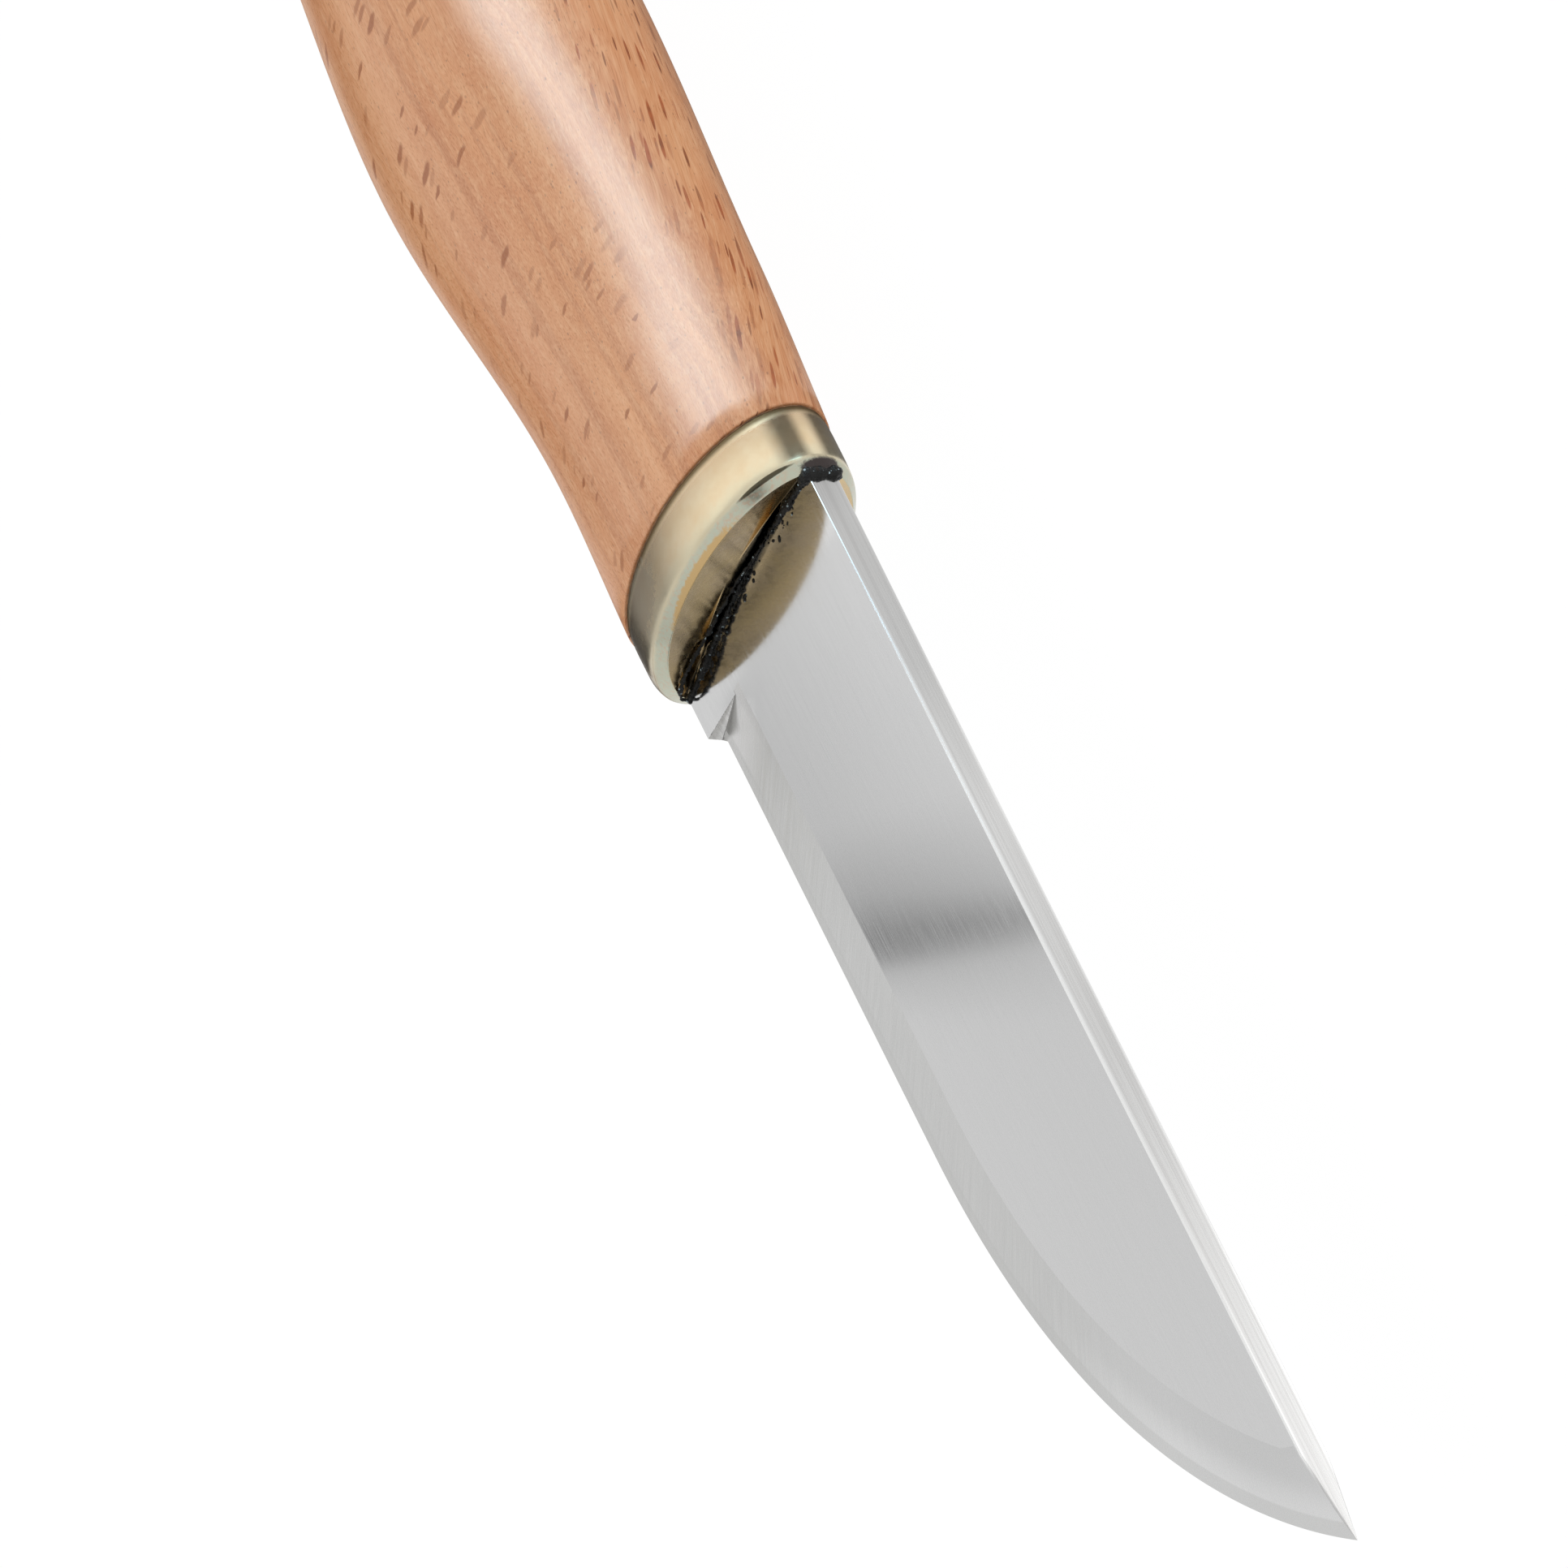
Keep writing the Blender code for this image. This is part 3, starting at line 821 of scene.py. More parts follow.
def platedMetal():
    look = platingLook
    made, tree, shader = startMaterial("yellowPlating")
    place = placeOnPiece(tree)
    profile = painted(tree, "profile")
    patches = {}
    for name, (middle, reach, grit, ragged) in platingPatches.items():
        patches[name] = useGroup(raggedPatch, Coordinate=place, Centre=Vector(middle) * mm,
                                 Reach=Vector(reach) * mm, Ragged=ragged, Grit=grit * mm)
    clouds = blotched(place, 3.2 * mm, 0.5, 0.2)
    specks = blotched(place, 0.35 * mm, 0.45, 0.1)
    shift = noised(place, 0.8 * mm, 4.0)[0]
    wavering = plus(profile, times(minus(shift, 0.5), 0.2))
    wall = tinted(clouds, look["wallTan"], look["wallPale"])
    wall = layered(
        wall, look,
        (ranged(wavering, 0.05, 0.4, 0.8, 0.0), "wallRear"),
        (ranged(wavering, 0.5, 0.9, 0.0, 0.8), "wallFront"),
        # painted shade along the rear rim
        (ranged(profile, 0.03, 0.12, 0.9, 0.0), "rearRimShade"),
        (times(patches["greyBloom"], 0.5), "greyBloom"),
        (times(patches["brown"], 0.5), "brown"),
    )
    rim = tinted(times(specks, clouds), look["rimGreen"], look["rimPink"])
    rim = tinted(patches["amber"], rim, look["amber"])
    dish = tinted(clouds, look["dishTan"], look["wallTan"])
    onDish = ranged(profile, 1.98, 2.06)
    colour = tinted(onDish, tinted(ranged(wavering, 0.92, 1.12), wall, rim), dish)
    # dirt and painted shade round the slot, thinner towards the spine; the slot itself dark, partly epoxy and
    # partly painted shade; and painted shade in the fold where wall and rim were folded together
    grimeAndShade = ranged(plus(profile, times(shift, 0.2)), 3.05, 3.45, 0.0, 0.9)
    grimeAndShade = times(grimeAndShade, ranged(parted(place)[1], 1.5 * mm, 5 * mm, 1.0, 0.6))
    colour = layered(
        colour, look,
        (grimeAndShade, "grimeAndShade"),
        (ranged(profile, 3.22, 3.46, 0.0, 0.92), "slot"),
        # painted shade in the fold where wall and rim meet, near the spine
        (times(patches["paintedCreaseShade"], 0.9), "paintedCreaseShade"),
        (patches["residue"], "residue"),
    )
    rough = ranged(blotched(place, 0.5 * mm, 0.5, 0.3), 0.0, 1.0, look["rough"] * 0.85, look["rough"] * 1.2)
    rougher = (
        times(patches["greyBloom"], 0.12),
        times(onDish, 0.05),
        ranged(profile, 0.04, 0.16, 0.45, 0.0),
    )
    for more in rougher:
        rough = plus(rough, more)
    metal = ranged(patches["residue"], 0.2, 0.8, 1.0, 0.0)
    dents = bumped(0.5, 0.02 * mm, noised(place, 1.6 * mm, 2.0)[0])
    fill(shader, {"Base Color": colour, "Roughness": rough, "Metallic": metal, "Normal": dents})
    return made


buildFerrule(platedMetal())


# black bead where the blade leaves the ferrule, with a second strand round the hollow at the heel

beadShape = dict(
    levels=inMm(-12, -8, -4, 0, 4, 6, 8, 10, 13),
    radii=inMm(0.16, 0.26, 0.22, 0.17, 0.09, 0.12, 0.32, 0.3, 0.3),
    thinnest=0.06 * mm,
    proud=inMm(0.08, 0.05, 0.03),  # how far its middle stands off the flats, the spine and the heel
    level=(0.28 * mm - ferruleShape["dishDepth"], 0.24 * mm),  # x of its middle, half way up and at the rim
    climb=12.6 * mm,               # the height over which it rises from one to the other
    lumps=0.17 * mm,
    lumpSize=0.7 * mm,
    grit=0.1 * mm,
    gritSize=0.32 * mm,
    smear=0.7,                     # how far it is drawn out along the blade near the heel
    smearRun=inMm(-3, 4),
    flatness=0.45,                 # how much lower than wide it lies against the flat
    flatRun=inMm(0.5, 2.5),        # down from the spine
    spill=0.24 * mm,               # how much thicker it is where it ran over the rim at the spine
    spillReach=1.0 * mm,
    faceSteps=420,
    endSteps=44,
    sides=18,
    # the second strand leaves the blade, runs down the dish and closes round the heel: (y, z) in mm
    strand=((3.4, 1.3), (1.0, 1.62), (-2.0, 1.9), (-5.0, 2.1), (-7.5, 2.42), (-9.5, 2.56), (-11.0, 2.36),
            (-11.75, 1.86), (-11.9, 1.2)),
    strandSteps=300,
    strandRadius=0.14 * mm,
    strandLumps=0.12 * mm,
    strandLumpSize=0.5 * mm,
    crumbs=46,                     # specks of epoxy left on the blade beside the bead
    crumbSize=inMm(0.06, 0.19),
    crumbLevels=inMm(-9, 10.5),
    crumbStart=0.25 * mm,
    crumbReach=1.0 * mm,
)


def dishLevel(y):
    # where the dish meets the blade's face, at this height
    low, high = beadShape["level"]
    return mixed(low, high, min(1.0, abs(y - widest) / beadShape["climb"]) ** 1.6)


def beadPath():
    shape = beadShape
    flatOut, spineOut, heelOut = shape["proud"]
    top, bottom, side = spineY + spineOut, heelY - heelOut, halfThick + flatOut
    path = []
    for start, end, sign in ((top, bottom, 1), (bottom, top, -1)):
        for y in steps(start, end, shape["faceSteps"]):
            path.append((Vector((dishLevel(y), y, sign * side)), Vector((0, 0, sign))))
        for z in steps(sign * side, -sign * side, shape["endSteps"]):
            path.append((Vector((dishLevel(end), end, z)), Vector((0, -sign, 0))))
    return path


def softened(path, reach=8):
    # turns the outward direction gradually round the four corners
    count = len(path)
    found = []
    for i, (middle, _) in enumerate(path):
        total = Vector((0, 0, 0))
        for j in range(-reach, reach + 1):
            total += path[(i + j) % count][1]
        found.append((middle, total.normalized()))
    return found


def tube(path, radiusAt, sides):
    # rings round a path of middles and outward directions
    rings = []
    for middle, out in path:
        ring = []
        for c, s in turns(sides):
            direction = out * c + Vector((1, 0, 0)) * s
            ring.append(middle + direction * radiusAt(middle, direction))
        rings.append(ring)
    return rings


def gritty(middle, direction, radius):
    return radius + beadShape["grit"] * bumpy(middle + direction * radius, beadShape["gritSize"], 2)


def beadRadius(middle, direction):
    shape = beadShape
    lump = bumpy(middle + Vector((0.4, 0.1, 0.7)) * 0.01, shape["lumpSize"])
    levels = shape["levels"]
    radius = smoothThrough(levels, shape["radii"], min(max(middle.y, levels[0]), levels[-1]))
    radius += shape["spill"] * eased(middle.y, spineY - shape["spillReach"], spineY) + shape["lumps"] * lump
    smear = 1 + shape["smear"] * max(0.0, direction.x) * eased(-middle.y, *shape["smearRun"])
    low = 1 - shape["flatness"] * abs(direction.z) * eased(spineY - middle.y, *shape["flatRun"])
    return gritty(middle, direction, max(shape["thinnest"], radius) * smear * low)


def strandPath():
    shape = beadShape
    places = list(range(len(shape["strand"])))
    last = places[-1]
    ends = []
    for i in range(shape["strandSteps"]):
        at = last * i / (shape["strandSteps"] - 1)
        ends.append([smoothThrough(places, [point[k] * mm for point in shape["strand"]], at) for k in (0, 1)])
    path = []
    for i, (y, z) in enumerate(ends):
        near, far = ends[max(0, i - 1)], ends[min(len(ends) - 1, i + 1)]
        outward = Vector((0, -(far[1] - near[1]), far[0] - near[0])).normalized()
        path.append((Vector((dishLevel(y) + 0.02 * mm, y, z)), -outward))
    return path


def strandRadius(middle, direction):
    shape = beadShape
    lump = bumpy(middle + Vector((0.2, 0.5, 0.3)) * 0.01, shape["strandLumpSize"])
    return gritty(middle, direction, max(shape["thinnest"], shape["strandRadius"] + shape["strandLumps"] * lump))


def addCrumbs(work):
    shape = beadShape
    chance = random.Random(7)
    small, big = shape["crumbSize"]
    for _ in range(shape["crumbs"]):
        y = chance.uniform(*shape["crumbLevels"])
        x = dishLevel(y) + shape["crumbStart"] + shape["crumbReach"] * chance.random()
        size = mixed(small, big, chance.random() ** 2)
        turn = Matrix.Rotation(chance.uniform(0, math.pi), 4, "Z")
        stretch = Matrix.Diagonal((chance.uniform(1.0, 2.2), 1.0, 0.4, 1.0))
        where = Matrix.Translation((x, y, halfThick + 0.2 * size)) @ turn @ stretch
        bmesh.ops.create_icosphere(work, subdivisions=2, radius=size, matrix=where)


def buildBead(material):
    sides = beadShape["sides"]
    work = skin(tube(softened(beadPath()), beadRadius, sides), loop=True)
    strand = skin(tube(strandPath(), strandRadius, sides), capStart=True, capEnd=True)
    scratch = bpy.data.meshes.new("second strand")
    strand.to_mesh(scratch)
    strand.free()
    work.from_mesh(scratch)
    bpy.data.meshes.remove(scratch)
    addCrumbs(work)
    sharpen(work, math.pi)
    setDown("blackBead", work, [material], "black_epoxy", "slot_seal")


epoxyLook = dict(colour=(9, 9, 8), brown=(40, 29, 22), glint=(185, 205, 212), rough=0.2)


def blackEpoxy():
    look = epoxyLook
    made, tree, shader = startMaterial("blackEpoxy")
    place = placeOnPiece(tree)
    stained = blotched(place, 1.2 * mm, 0.35, 0.12)
    glints = flecked(place, 0.34 * mm, 0.34 * mm, 0.36, 0.4)
    colour = tinted(glints, tinted(stained, look["colour"], look["brown"]), look["glint"])
    pits = blotched(place, 0.16 * mm, 0.5, 0.2)
    rough = ranged(pits, 0.0, 1.0, look["rough"], look["rough"] * 2.2)
    bump = bumped(0.7, 0.05 * mm, pits)
    fill(shader, {"Base Color": colour, "Roughness": rough, "Specular IOR Level": 0.25, "Normal": bump})
    return made


epoxy = blackEpoxy()
buildBead(epoxy)
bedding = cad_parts["tang_bedding"]  # inside the handle, so its CAD shape stays
bedding.data.materials.clear()
bedding.data.materials.append(epoxy)


# glue squeezed out in a thin dark line between ferrule and wood

glueShape = dict(radius=0.06 * mm, ragged=0.08 * mm, raggedSize=0.5 * mm, thinnest=0.05 * mm, inset=0.17 * mm,
                 around=420, sides=10)
glueLook = dict(dark=(92, 66, 40), light=(138, 100, 64), rough=(0.35, 0.55))


def glueRadius(middle, _):
    shape = glueShape
    return max(shape["thinnest"], shape["radius"] + shape["ragged"] * bumpy(middle, shape["raggedSize"]))


def buildGlueLine(material):
    shape = glueShape
    inset = shape["inset"]
    path = []
    line = oval(rearRimX - fitGap / 2, halfHeight - inset, inset - halfHeight, halfWidth - inset, shape["around"])
    for middle in line:
        out = Vector((0.0, (middle.y - widest) / halfHeight**2, middle.z / halfWidth**2)).normalized()
        path.append((middle, out))
    work = skin(tube(path, glueRadius, shape["sides"]), loop=True)
    sharpen(work, math.pi)
    setDown("glueLine", work, [material], "brown_glue", "ferrule_adhesive")


def brownGlue():
    look = glueLook
    made, tree, shader = startMaterial("brownGlue")
    patchy = blotched(placeOnPiece(tree), 1.0 * mm, 0.5, 0.2)
    rough = ranged(patchy, 0.0, 1.0, *look["rough"])
    fill(shader, {"Base Color": tinted(patchy, look["dark"], look["light"]), "Roughness": rough})
    return made


buildGlueLine(brownGlue())


# handle: turned and shaped beech under a thin clear lacquer

handleShape = dict(
    stations=inMm(0, 16, 46, 81, 99, 108),  # back from the ferrule
    tops=inMm(0.1, 1, 0.9, -0.4, -0.3, -0.3),
    bottoms=inMm(0.1, -1.3, 1.3, -1.7, -0.4, -0.4),
    sides=inMm(0.1, 0.9, 3.2, 1.6, 2, 2),
    buttRound=7.6 * mm,
    neckRound=0.14 * mm,
    spigotInset=1.55 * mm,
    spigotX=-2.8 * mm,
    boreMargin=1.2 * mm,
    boreEnd=1.9 * mm,              # from the tang's end
    rings=150,
    around=144,
)


def handleRing(back, inset=0.0):
    shape = handleShape
    swells = (shape[key] for key in ("tops", "bottoms", "sides"))
    top, bottom, side = (smoothThrough(shape["stations"], swell, back) - inset for swell in swells)
    x = rearRimX - fitGap - back
    return oval(x, halfHeight + top, -halfHeight - bottom, halfWidth + side, shape["around"])


def buildHandle(material):
    shape = handleShape
    count, margin = shape["around"], shape["boreMargin"]
    end, mouth = bladeShape["tangEndHeight"] / 2 + margin, bladeShape["tangHeight"] / 2 + margin
    boreSide = bladeShape["tangHalfThick"] + margin
    spigot = shape["spigotInset"]
    rings = [
        slotRing(tangEndX - shape["boreEnd"], end, -end, boreSide, count),
        slotRing(shape["spigotX"], mouth, -mouth, boreSide, count),
    ]
    for x in (shape["spigotX"], rearRimX - fitGap):
        rings.append(oval(x, halfHeight - spigot, spigot - halfHeight, halfWidth - spigot, count))
    neck, butt = shape["neckRound"], shape["buttRound"]
    rounding = shape["stations"][-1] - butt
    for turn in steps(0.0, quarterTurn, 4):
        rings.append(handleRing(neck * (1 - math.cos(turn)), neck * (1 - math.sin(turn))))
    rings += [handleRing(back) for back in steps(neck, rounding, shape["rings"])]
    for turn in stepsTo(0.0, quarterTurn, 24):
        rings.append(handleRing(rounding + butt * math.sin(turn), butt * (1 - math.cos(turn))))
    work = skin(rings, capStart=True, capEnd=True)
    sharpen(work, math.radians(40))
    work.normal_update()
    sideLayer = work.verts.layers.float.new("onSide")
    for vert in work.verts:
        vert[sideLayer] = abs(vert.normal.z)
    setDown("beechHandle", work, [material], "beech", "handle")


beechLook = dict(
    pale=(221, 161, 115),
    tan=(203, 138, 91),
    rosy=(200, 126, 82),
    ring=(170, 104, 64),
    bright=(233, 186, 144),
    ray=(122, 62, 29),
    amberRay=(168, 85, 39),
    fleck=(162, 96, 52),
    pore=(122, 74, 48),
    grainTilt=8.8,                 # the grain runs this many degrees off the handle's length
    fleckTilt=-18,
    rough=0.3,
)


def lacqueredBeech():
    look = beechLook
    made, tree, shader = startMaterial("lacqueredBeech")
    raw = placeOnPiece(tree)

    def pushedBy(vector, size, reach):
        # the same place, moved a little by a noise of this size
        offset = vectorMaths("SUBTRACT", noised(raw, size, 2.0)["Color"], (0.5, 0.5, 0.5))
        return vectorMaths("ADD", vector, vectorMaths("MULTIPLY", offset, reach))

    def swapped(vector, first, second):
        # two of the three directions, for dashes that run on into the wood
        parts = parted(vector)
        return joined(parts[first], parts[second])

    place = turned(pushedBy(raw, 22 * mm, (0.0, 2.4 * mm, 1.6 * mm)), look["grainTilt"], "Y_AXIS")

    def grained(length, width, depth, contrast):
        return lined(place, *inMm(length, width, depth), contrast)

    def dashed(where, length, width, fillShare, share, soft):
        return useGroup(taperedDashes, Coordinate=where, Length=length * mm, Width=width * mm,
                        Fill=fillShare, Share=share, Soft=soft)

    # slow changes of tone, then growth rings, fibres, pores and rays
    colour = tinted(grained(30, 2.6, 8, 0.24), look["tan"], look["pale"])
    fibre = grained(3.6, 0.08, 0.08, 0.24)
    pores = flecked(place, 0.8 * mm, 0.42 * mm, 0.24, 0.7)
    colour = layered(
        colour, look,
        (times(blotched(place, 13 * mm, 0.45, 0.18), 0.4), "rosy"),
        (ranged(grained(150, 1.1, 20, 0.14), 0.74, 1.0, 0.0, 0.3), "ring"),
        (ranged(grained(6, 0.3, 0.4, 0.2), 0.45, 1.0, 0.0, 0.3), "bright"),
        (ranged(fibre, 0.5, 1.0, 0.0, 0.34), "bright"),
        (ranged(fibre, 0.0, 0.5, 0.26, 0.0), "ring"),
        (times(pores, 0.5), "pore"),
    )
    # rays show as dashes towards the spine and as short soft flecks on the sides
    onSide = painted(tree, "onSide")
    loose = turned(pushedBy(place, 1.6 * mm, (0.7 * mm, 0.7 * mm, 0.0)), look["fleckTilt"])
    flecks = dashed(swapped(loose, 1, 0), 3.6, 1.3, 0.33, 0.36, 0.5)
    colour = tinted(times(flecks, ranged(onSide, 0.82, 0.94)), colour, look["fleck"])
    acrossGrain = swapped(place, 0, 2)
    fine = dashed(acrossGrain, 5.6, 0.56, 0.32, 0.75, 0.35)
    bold = dashed(acrossGrain, 11, 0.9, 0.3, 0.22, 0.4)
    rays = times(maths("MAXIMUM", fine, bold), ranged(onSide, 0.5, 0.7, 1.0, 0.0))
    whichRay = blotched(place, 3 * mm, 0.5, 0.1)
    rayColour = tinted(whichRay, look["ray"], look["amberRay"])
    colour = tinted(times(rays, 0.9), colour, rayColour)
    rough = ranged(fibre, 0.0, 1.0, look["rough"] * 0.9, look["rough"] * 1.1)
    relief = minus(times(fibre, 0.5), plus(pores, rays))
    bump = bumped(0.25, 0.02 * mm, relief)
    fill(shader, {"Base Color": colour, "Roughness": rough, "Specular IOR Level": 0.5, "Normal": bump})
    return made


buildHandle(lacqueredBeech())


# stage: pale floor, white surround, soft lamps and cards, laid out for the camera's view

cameraView = dict(
    back=(0.5744, 0.6388, 0.5118),
    up=(-0.7321, 0.6806, -0.0278),
    aim=inMm(9.228, -11.478, -3.1),
    nudge=inMm(0.06, -0.28),  # right and up in the picture, against the lens's slight perspective
    frameWidth=120.0 * mm,
    lens=1600.0,
    sensor=36.0,
)

plainWhite = (1.0, 1.0, 1.0, 1.0)
stageLook = dict(
    floorSize=8.0,
    floorColour=(205, 205, 205),
    floorWhite=1.03,
    floorGlow=0.955,               # share of plain white that the floor shows to the camera and to metal
    floorBounce=0.6,               # and the share that it throws back as scattered light
    surroundLight=0.5,
)

# direction from the lip, distance, length and width in metres, and brightness where plain white is 1
softboxes = dict(
    overhead=dict(toward=(-0.15, -0.55, 0.82), away=0.55, size=(0.42, 0.36), glow=1.35),
    spineSide=dict(toward=(-0.10, 0.98, 0.17), away=0.5, size=(0.5, 0.14), glow=3.9),
    edgeSide=dict(toward=(-0.15, -0.78, 0.60), away=0.5, size=(0.5, 0.3), glow=1.75),
)

# cards that only polished surfaces see; each line across a card gives its two ends and how bright they are
flatMirror = Vector((-0.5744, -0.6388, 0.5118))  # the way that the flat mirrors the camera's rays
flatCard = dict(
    # where each line shows on the flat, at the bevel and at the spine, in mm from the lip
    lines=(
        (4.0, 4.0, 0.82, 1.03),
        (20.0, 33.0, 0.79, 0.95),
        (27.0, 43.0, 0.58, 0.73),
        (31.2, 46.2, 0.32, 0.43),
        (33.3, 47.8, 0.40, 0.56),
        (34.8, 49.7, 0.76, 0.80),
        (40.0, 57.0, 0.93, 0.91),
        (104.0, 104.0, 0.95, 0.95),
    ),
    ends=inMm(-5.54, 13.45),
    beyond=0.14,                   # how far the card runs on past both ends
    away=26 * mm,
)
spineCard = dict(
    # place along the spine in mm, and how bright the card is there
    levels=((-2, 0.75), (5, 0.93), (20, 0.95), (36, 1.18), (60, 1.1), (84, 1.42), (122, 1.95)),
    near=1.5 * mm,
    far=20 * mm,
    drop=6 * mm,
    back=6.7 * mm,                 # towards the handle, for the slant of the camera's rays
)
sheenCard = dict(
    # a long card above the handle, low side first, in mm from the lip
    lines=(
        ((-18.5, -4.0, 35.0), (-17.0, 39.0, 19.0)),
        ((-33.0, -3.5, 35.0), (-29.0, 40.0, 18.5)),
        ((-39.0, 2.6, 36.4), (-33.5, 41.5, 16.0)),
        ((-46.3, 12.7, 37.2), (-45.3, 39.6, 17.0)),
        ((-57.0, 13.0, 37.9), (-55.3, 41.6, 14.0)),
        ((-72.0, 7.0, 37.3), (-66.2, 41.0, 15.0)),
        ((-125.0, 7.0, 37.3), (-125.0, 41.0, 15.0)),
    ),
    level=13.2,
    tail=(3.4, 3.4, 3.2, 2.6, 2.0, 1.6, 1.6),  # how bright each line is where it runs on past its high side
    tint=(0.55, 0.82, 1.0),        # a cool sheen over the warm wood
)
ferruleCard = dict(
    # a bright panel and two dark strips: degrees round the ferrule from the spine, and how bright the card is there
    levels=((-35, 0.18), (-9, 0.2), (-2, 1.2), (3, 1.25), (9, 0.26), (17, 0.24), (26, 1.3), (58, 1.3), (78, 1.0),
            (98, 0.46), (119, 0.4), (126, 0.1), (140, 0.12)),
    places=inMm(-7.4, -4.8, -3.4, -2, -0.8),
    lift=(0.82, 0.85, 1.0, 1.08, 1.1),  # share of that brightness at each place, from the wood to the rim
    away=3.5 * mm,
)
floorCard = dict(corners=((-125, -58), (-8, 52)), z=-9.9, level=0.18, rim=0.1, cells=12)
darkRim = dict(rim=0.2, cells=16)
darkCards = dict(
    besideFold=dict(start=(-0.85, 10.8, 4.5), toward=(0.42, 0.17, 0.88), away=150, size=(52, 40), level=0.1),
    frontOfDish=dict(start=(-0.7, 0, 4), toward=(0.68, -0.65, 0.285), away=200, size=(230, 94), level=0.02),
    belowDish=dict(start=(-0.4, -7, 4), toward=(0.92, -0.38, 0.07), away=190, size=(80, 90), level=0.02),
    besideHandle=dict(start=(-125, 0, 16), toward=(0.0, -1.0, 0.0), away=70, size=(190, 56), level=0.05),
)


def whiteRays(tree):
    # 1 for what is seen directly or mirrored, 0 for scattered light
    path = addNode(tree, "ShaderNodeLightPath").outputs
    seen = maths("MAXIMUM", path["Is Camera Ray"], path["Is Glossy Ray"])
    return maths("MAXIMUM", seen, path["Is Transmission Ray"])


def buildSurround():
    world = bpy.data.worlds.new("whiteSurround")
    bpy.context.scene.world = world
    world.use_nodes = True
    tree = world.node_tree
    level = ranged(whiteRays(tree), 0.0, 1.0, stageLook["surroundLight"], 1.0, soft=False)
    fill(tree.nodes["Background"], {"Color": plainWhite, "Strength": level})


def buildFloor():
    look = stageLook
    half = look["floorSize"] / 2
    work = bmesh.new()
    work.faces.new([work.verts.new((x * half, y * half, 0.0)) for x, y in ((-1, -1), (1, -1), (1, 1), (-1, 1))])
    made, tree, shader = startMaterial("paleFloor")
    fill(shader, {"Base Color": rgb(*look["floorColour"]), "Roughness": 0.9, "Specular IOR Level": 0.0})
    white = addNode(tree, "ShaderNodeEmission", {"Color": plainWhite, "Strength": look["floorWhite"]})
    share = ranged(whiteRays(tree), 0.0, 1.0, look["floorBounce"], look["floorGlow"], soft=False)
    both = addNode(tree, "ShaderNodeMixShader", {0: share, 1: shader.outputs[0], 2: white.outputs[0]})
    fill(tree.nodes["Material Output"], {"Surface": both.outputs[0]})
    floor = addMesh("floor", work, [made])


def addCard(name, rows, levels, tint=(1.0, 1.0, 1.0)):
    # a card drawn through rows of points, each with its own brightness
    work = bmesh.new()
    fade = work.verts.layers.float.new("fade")
    made = []
    for row, shown in zip(rows, levels):
        made.append([work.verts.new(lip + point) for point in row])
        for vert, level in zip(made[-1], shown):
            vert[fade] = level
    for near, far in zip(made, made[1:]):
        for i in range(len(near) - 1):
            work.faces.new((near[i], near[i + 1], far[i + 1], far[i]))
    paper, tree, shader = startMaterial(name + "Paper")
    tree.nodes.remove(shader)
    level = painted(tree, "fade")
    # only its bright parts are tinted
    colour = tinted(ranged(level, 1.0, 1.8), plainWhite, (*tint, 1.0))
    glow = addNode(tree, "ShaderNodeEmission", {"Color": colour, "Strength": level})
    fill(tree.nodes["Material Output"], {"Surface": glow.outputs[0]})
    card = addMesh(name, work, [paper])
    card.visible_camera = card.visible_diffuse = card.visible_shadow = False


def addFlatCard():
    # stands where the flat mirrors it, dark in one slanting band
    card = flatCard
    low, high = card["ends"]
    shares = stepsTo(-card["beyond"], 1 + card["beyond"], 12)
    rows, levels = [], []
    for left, right, leftLevel, rightLevel in card["lines"]:
        row = [Vector((mixed(left, right, i) * mm, mixed(low, high, i), halfThick)) for i in shares]
        rows.append([point + flatMirror * card["away"] for point in row])
        levels.append([mixed(leftLevel, rightLevel, i) for i in shares])
    addCard("flatCard", rows, levels)


def addSpineCard():
    # brightens the spine half way along and towards the tip
    card = spineCard
    rows = [
        [Vector((x * mm - card["back"], spineY + away, -card["drop"])) for away in (card["near"], card["far"])]
        for x, _ in card["levels"]
    ]
    addCard("spineCard", rows, [(level, level) for _, level in card["levels"]])


def addSheenCard():
    # rises quickly on its low side and falls slowly on the other, so that the sheen on the wood has soft sides
    card = sheenCard
    shares = [i / 10 for i in range(17)]
    rows, levels = [], []
    for (low, high), tail in zip(card["lines"], card["tail"]):
        rows.append([mixed(Vector(low), Vector(high), i) * mm for i in shares])
        falling = [mixed(card["level"], tail, eased(i, 0.55, 1.1)) for i in shares]
        levels.append([mixed(1.0, level, eased(i, 0.02, 0.4)) for i, level in zip(shares, falling)])
    addCard("sheenCard", rows, levels, card["tint"])


def addFerruleCard():
    # bends round the ferrule, close by, so that its wall alone mirrors it
    card = ferruleCard
    back = Vector(cameraView["back"]).normalized()
    rows, levels = [], []
    for degrees, level in card["levels"]:
        turn = math.radians(degrees)
        tall = halfHeight - widest if math.cos(turn) > 0 else halfHeight + widest
        at = Vector((0.0, widest + tall * math.cos(turn), halfWidth * math.sin(turn)))
        square = Vector((0.0, math.cos(turn) / tall, math.sin(turn) / halfWidth)).normalized()
        mirrored = square * 2 * square.dot(back) - back
        rows.append([at + Vector((x, 0, 0)) + mirrored * card["away"] for x in card["places"]])
        levels.append([level * lift for lift in card["lift"]])
    addCard("ferruleCard", rows, levels)


def addPlainCard(name, corner, across, up, card):
    # flat, and fading to white at its rim
    shares = stepsTo(0.0, 1.0, card["cells"])
    rows, levels = [], []
    for i in shares:
        rows.append([corner + across * i + up * j for j in shares])
        levels.append([mixed(1.0, card["level"], eased(min(i, 1 - i, j, 1 - j), 0.0, card["rim"])) for j in shares])
    addCard(name, rows, levels)


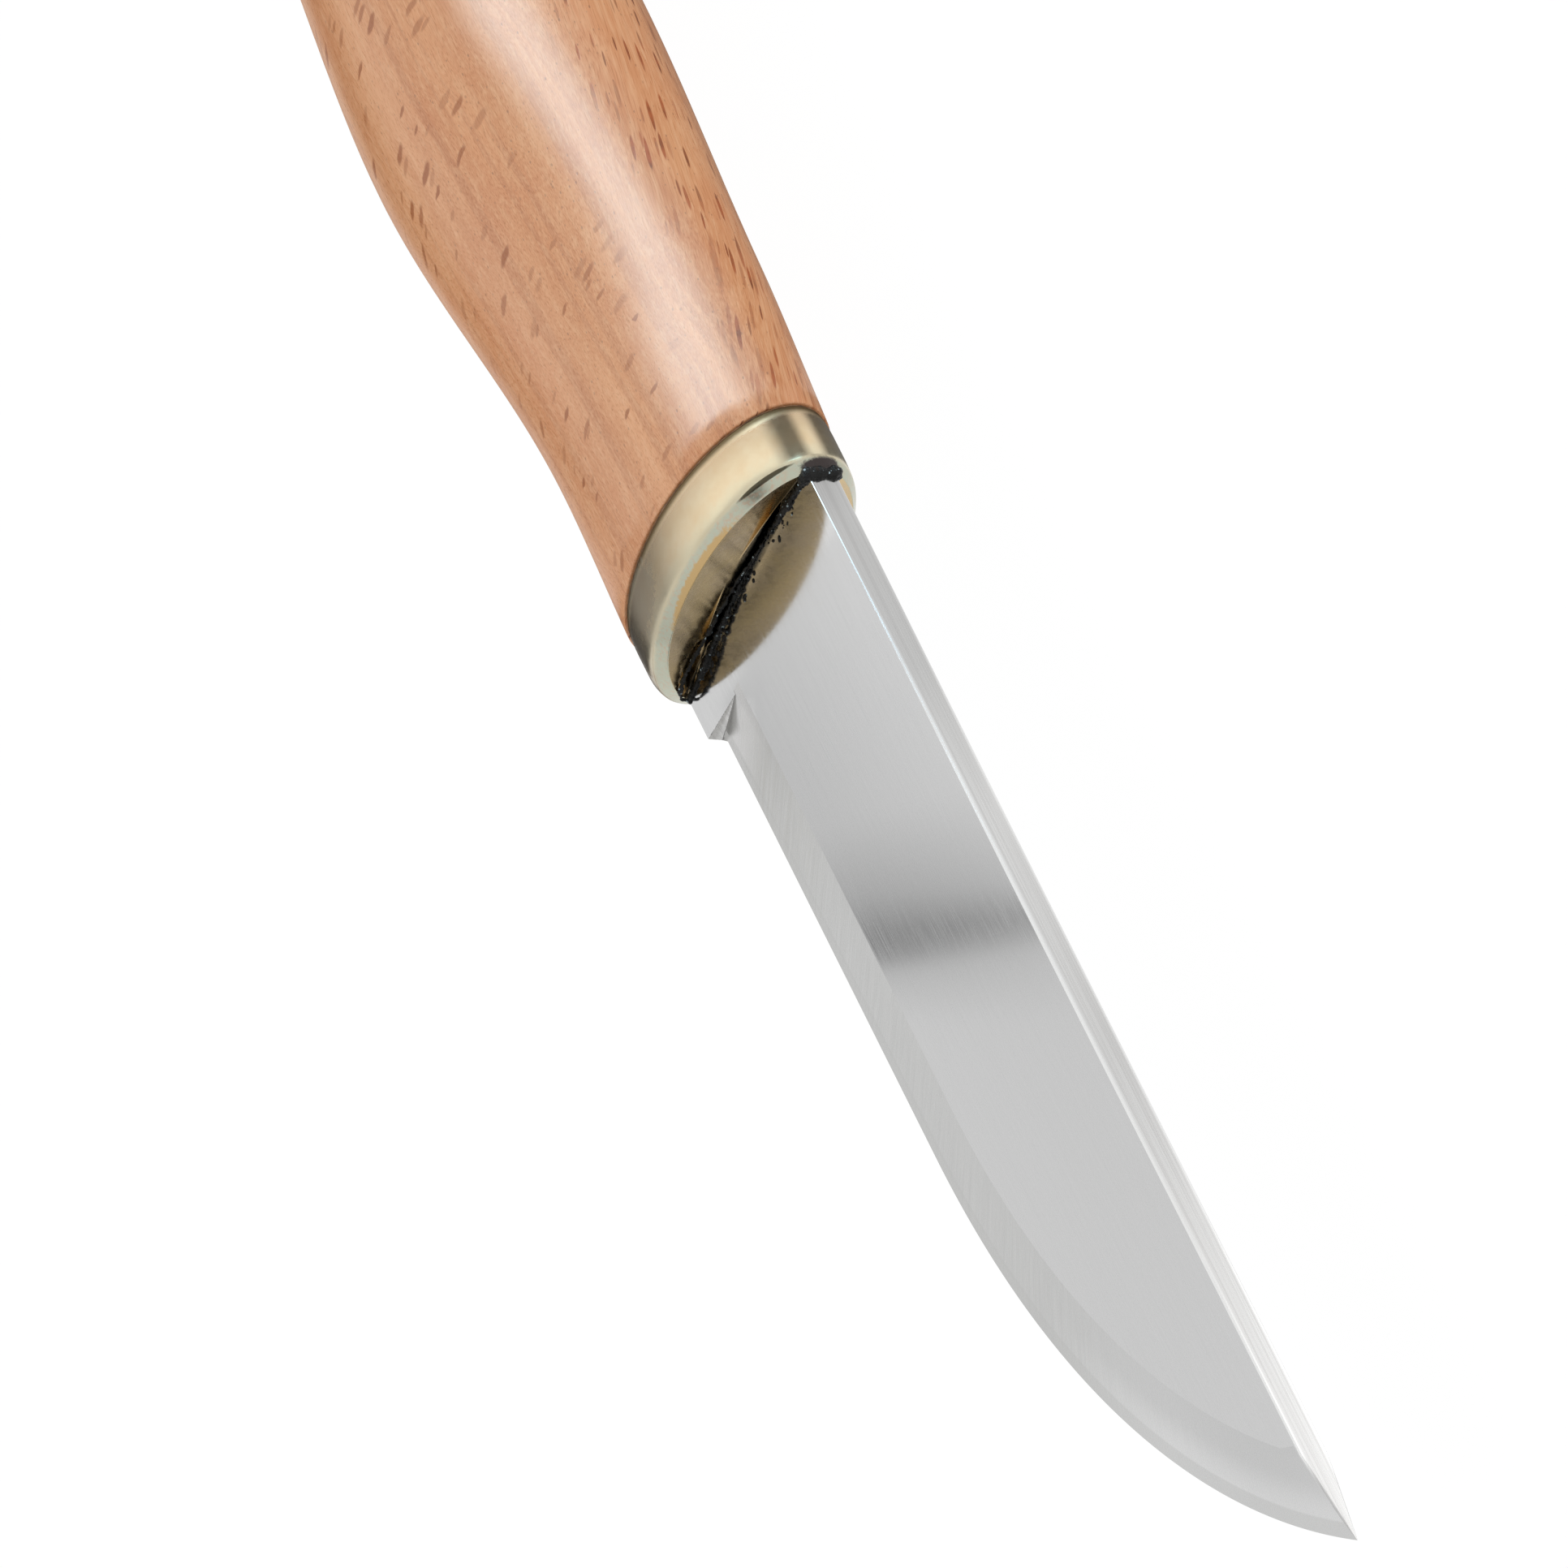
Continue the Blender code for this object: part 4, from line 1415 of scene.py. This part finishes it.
def addFloorCard():
    # keeps undersides from mirroring the white floor
    (lowX, lowY), (highX, highY) = floorCard["corners"]
    corner = Vector((lowX, lowY, floorCard["z"])) * mm
    across, up = Vector((highX - lowX, 0, 0)) * mm, Vector((0, highY - lowY, 0)) * mm
    addPlainCard("floorCard", corner, across, up, floorCard)


def addDarkCard(name, card):
    toward = Vector(card["toward"]).normalized()
    middle = (Vector(card["start"]) + toward * card["away"]) * mm
    sideways = Vector((0, 0, 1)).cross(toward).normalized()
    wide, tall = inMm(*card["size"])
    across, up = sideways * wide, toward.cross(sideways) * tall
    addPlainCard(name + "Card", middle - (across + up) / 2, across, up, dict(card, **darkRim))


def addSoftbox(name, box):
    wide, tall = box["size"]
    lamp = bpy.data.lights.new(name, "AREA")
    lamp.shape = "RECTANGLE"
    lamp.size, lamp.size_y = wide, tall
    lamp.energy = box["glow"] * math.pi * wide * tall
    made = addObject(name, lamp)
    toLamp = Vector(box["toward"]).normalized()
    lengthwise = (Vector((1, 0, 0)) - toLamp * toLamp.x).normalized()
    turn = Matrix((lengthwise, toLamp.cross(lengthwise), toLamp)).transposed()
    made.matrix_world = Matrix.Translation(lip + toLamp * box["away"]) @ turn.to_4x4()
    made.visible_camera = made.visible_glossy = False


buildSurround()
buildFloor()
for name, box in softboxes.items():
    addSoftbox(name, box)
addFlatCard()
addSpineCard()
addSheenCard()
addFerruleCard()
addFloorCard()
for name, card in darkCards.items():
    addDarkCard(name, card)
print("stage set")


# camera: the photograph's view, from far off with a very long lens

def buildCamera():
    view = cameraView
    back, up = Vector(view["back"]).normalized(), Vector(view["up"]).normalized()
    right = up.cross(back)
    data = bpy.data.cameras.new("photoView")
    data.lens = view["lens"]
    data.sensor_width = view["sensor"]
    away = view["frameWidth"] * data.lens / data.sensor_width
    data.clip_end = away * 3
    made = addObject("photoView", data)
    aim = lip + Vector(view["aim"]) + right * view["nudge"][0] + up * view["nudge"][1]
    made.matrix_world = Matrix.Translation(aim + back * away) @ Matrix((right, up, back)).transposed().to_4x4()
    bpy.context.scene.camera = made


buildCamera()
bpy.context.scene.view_settings.view_transform = "Standard"
bpy.context.view_layer.update()
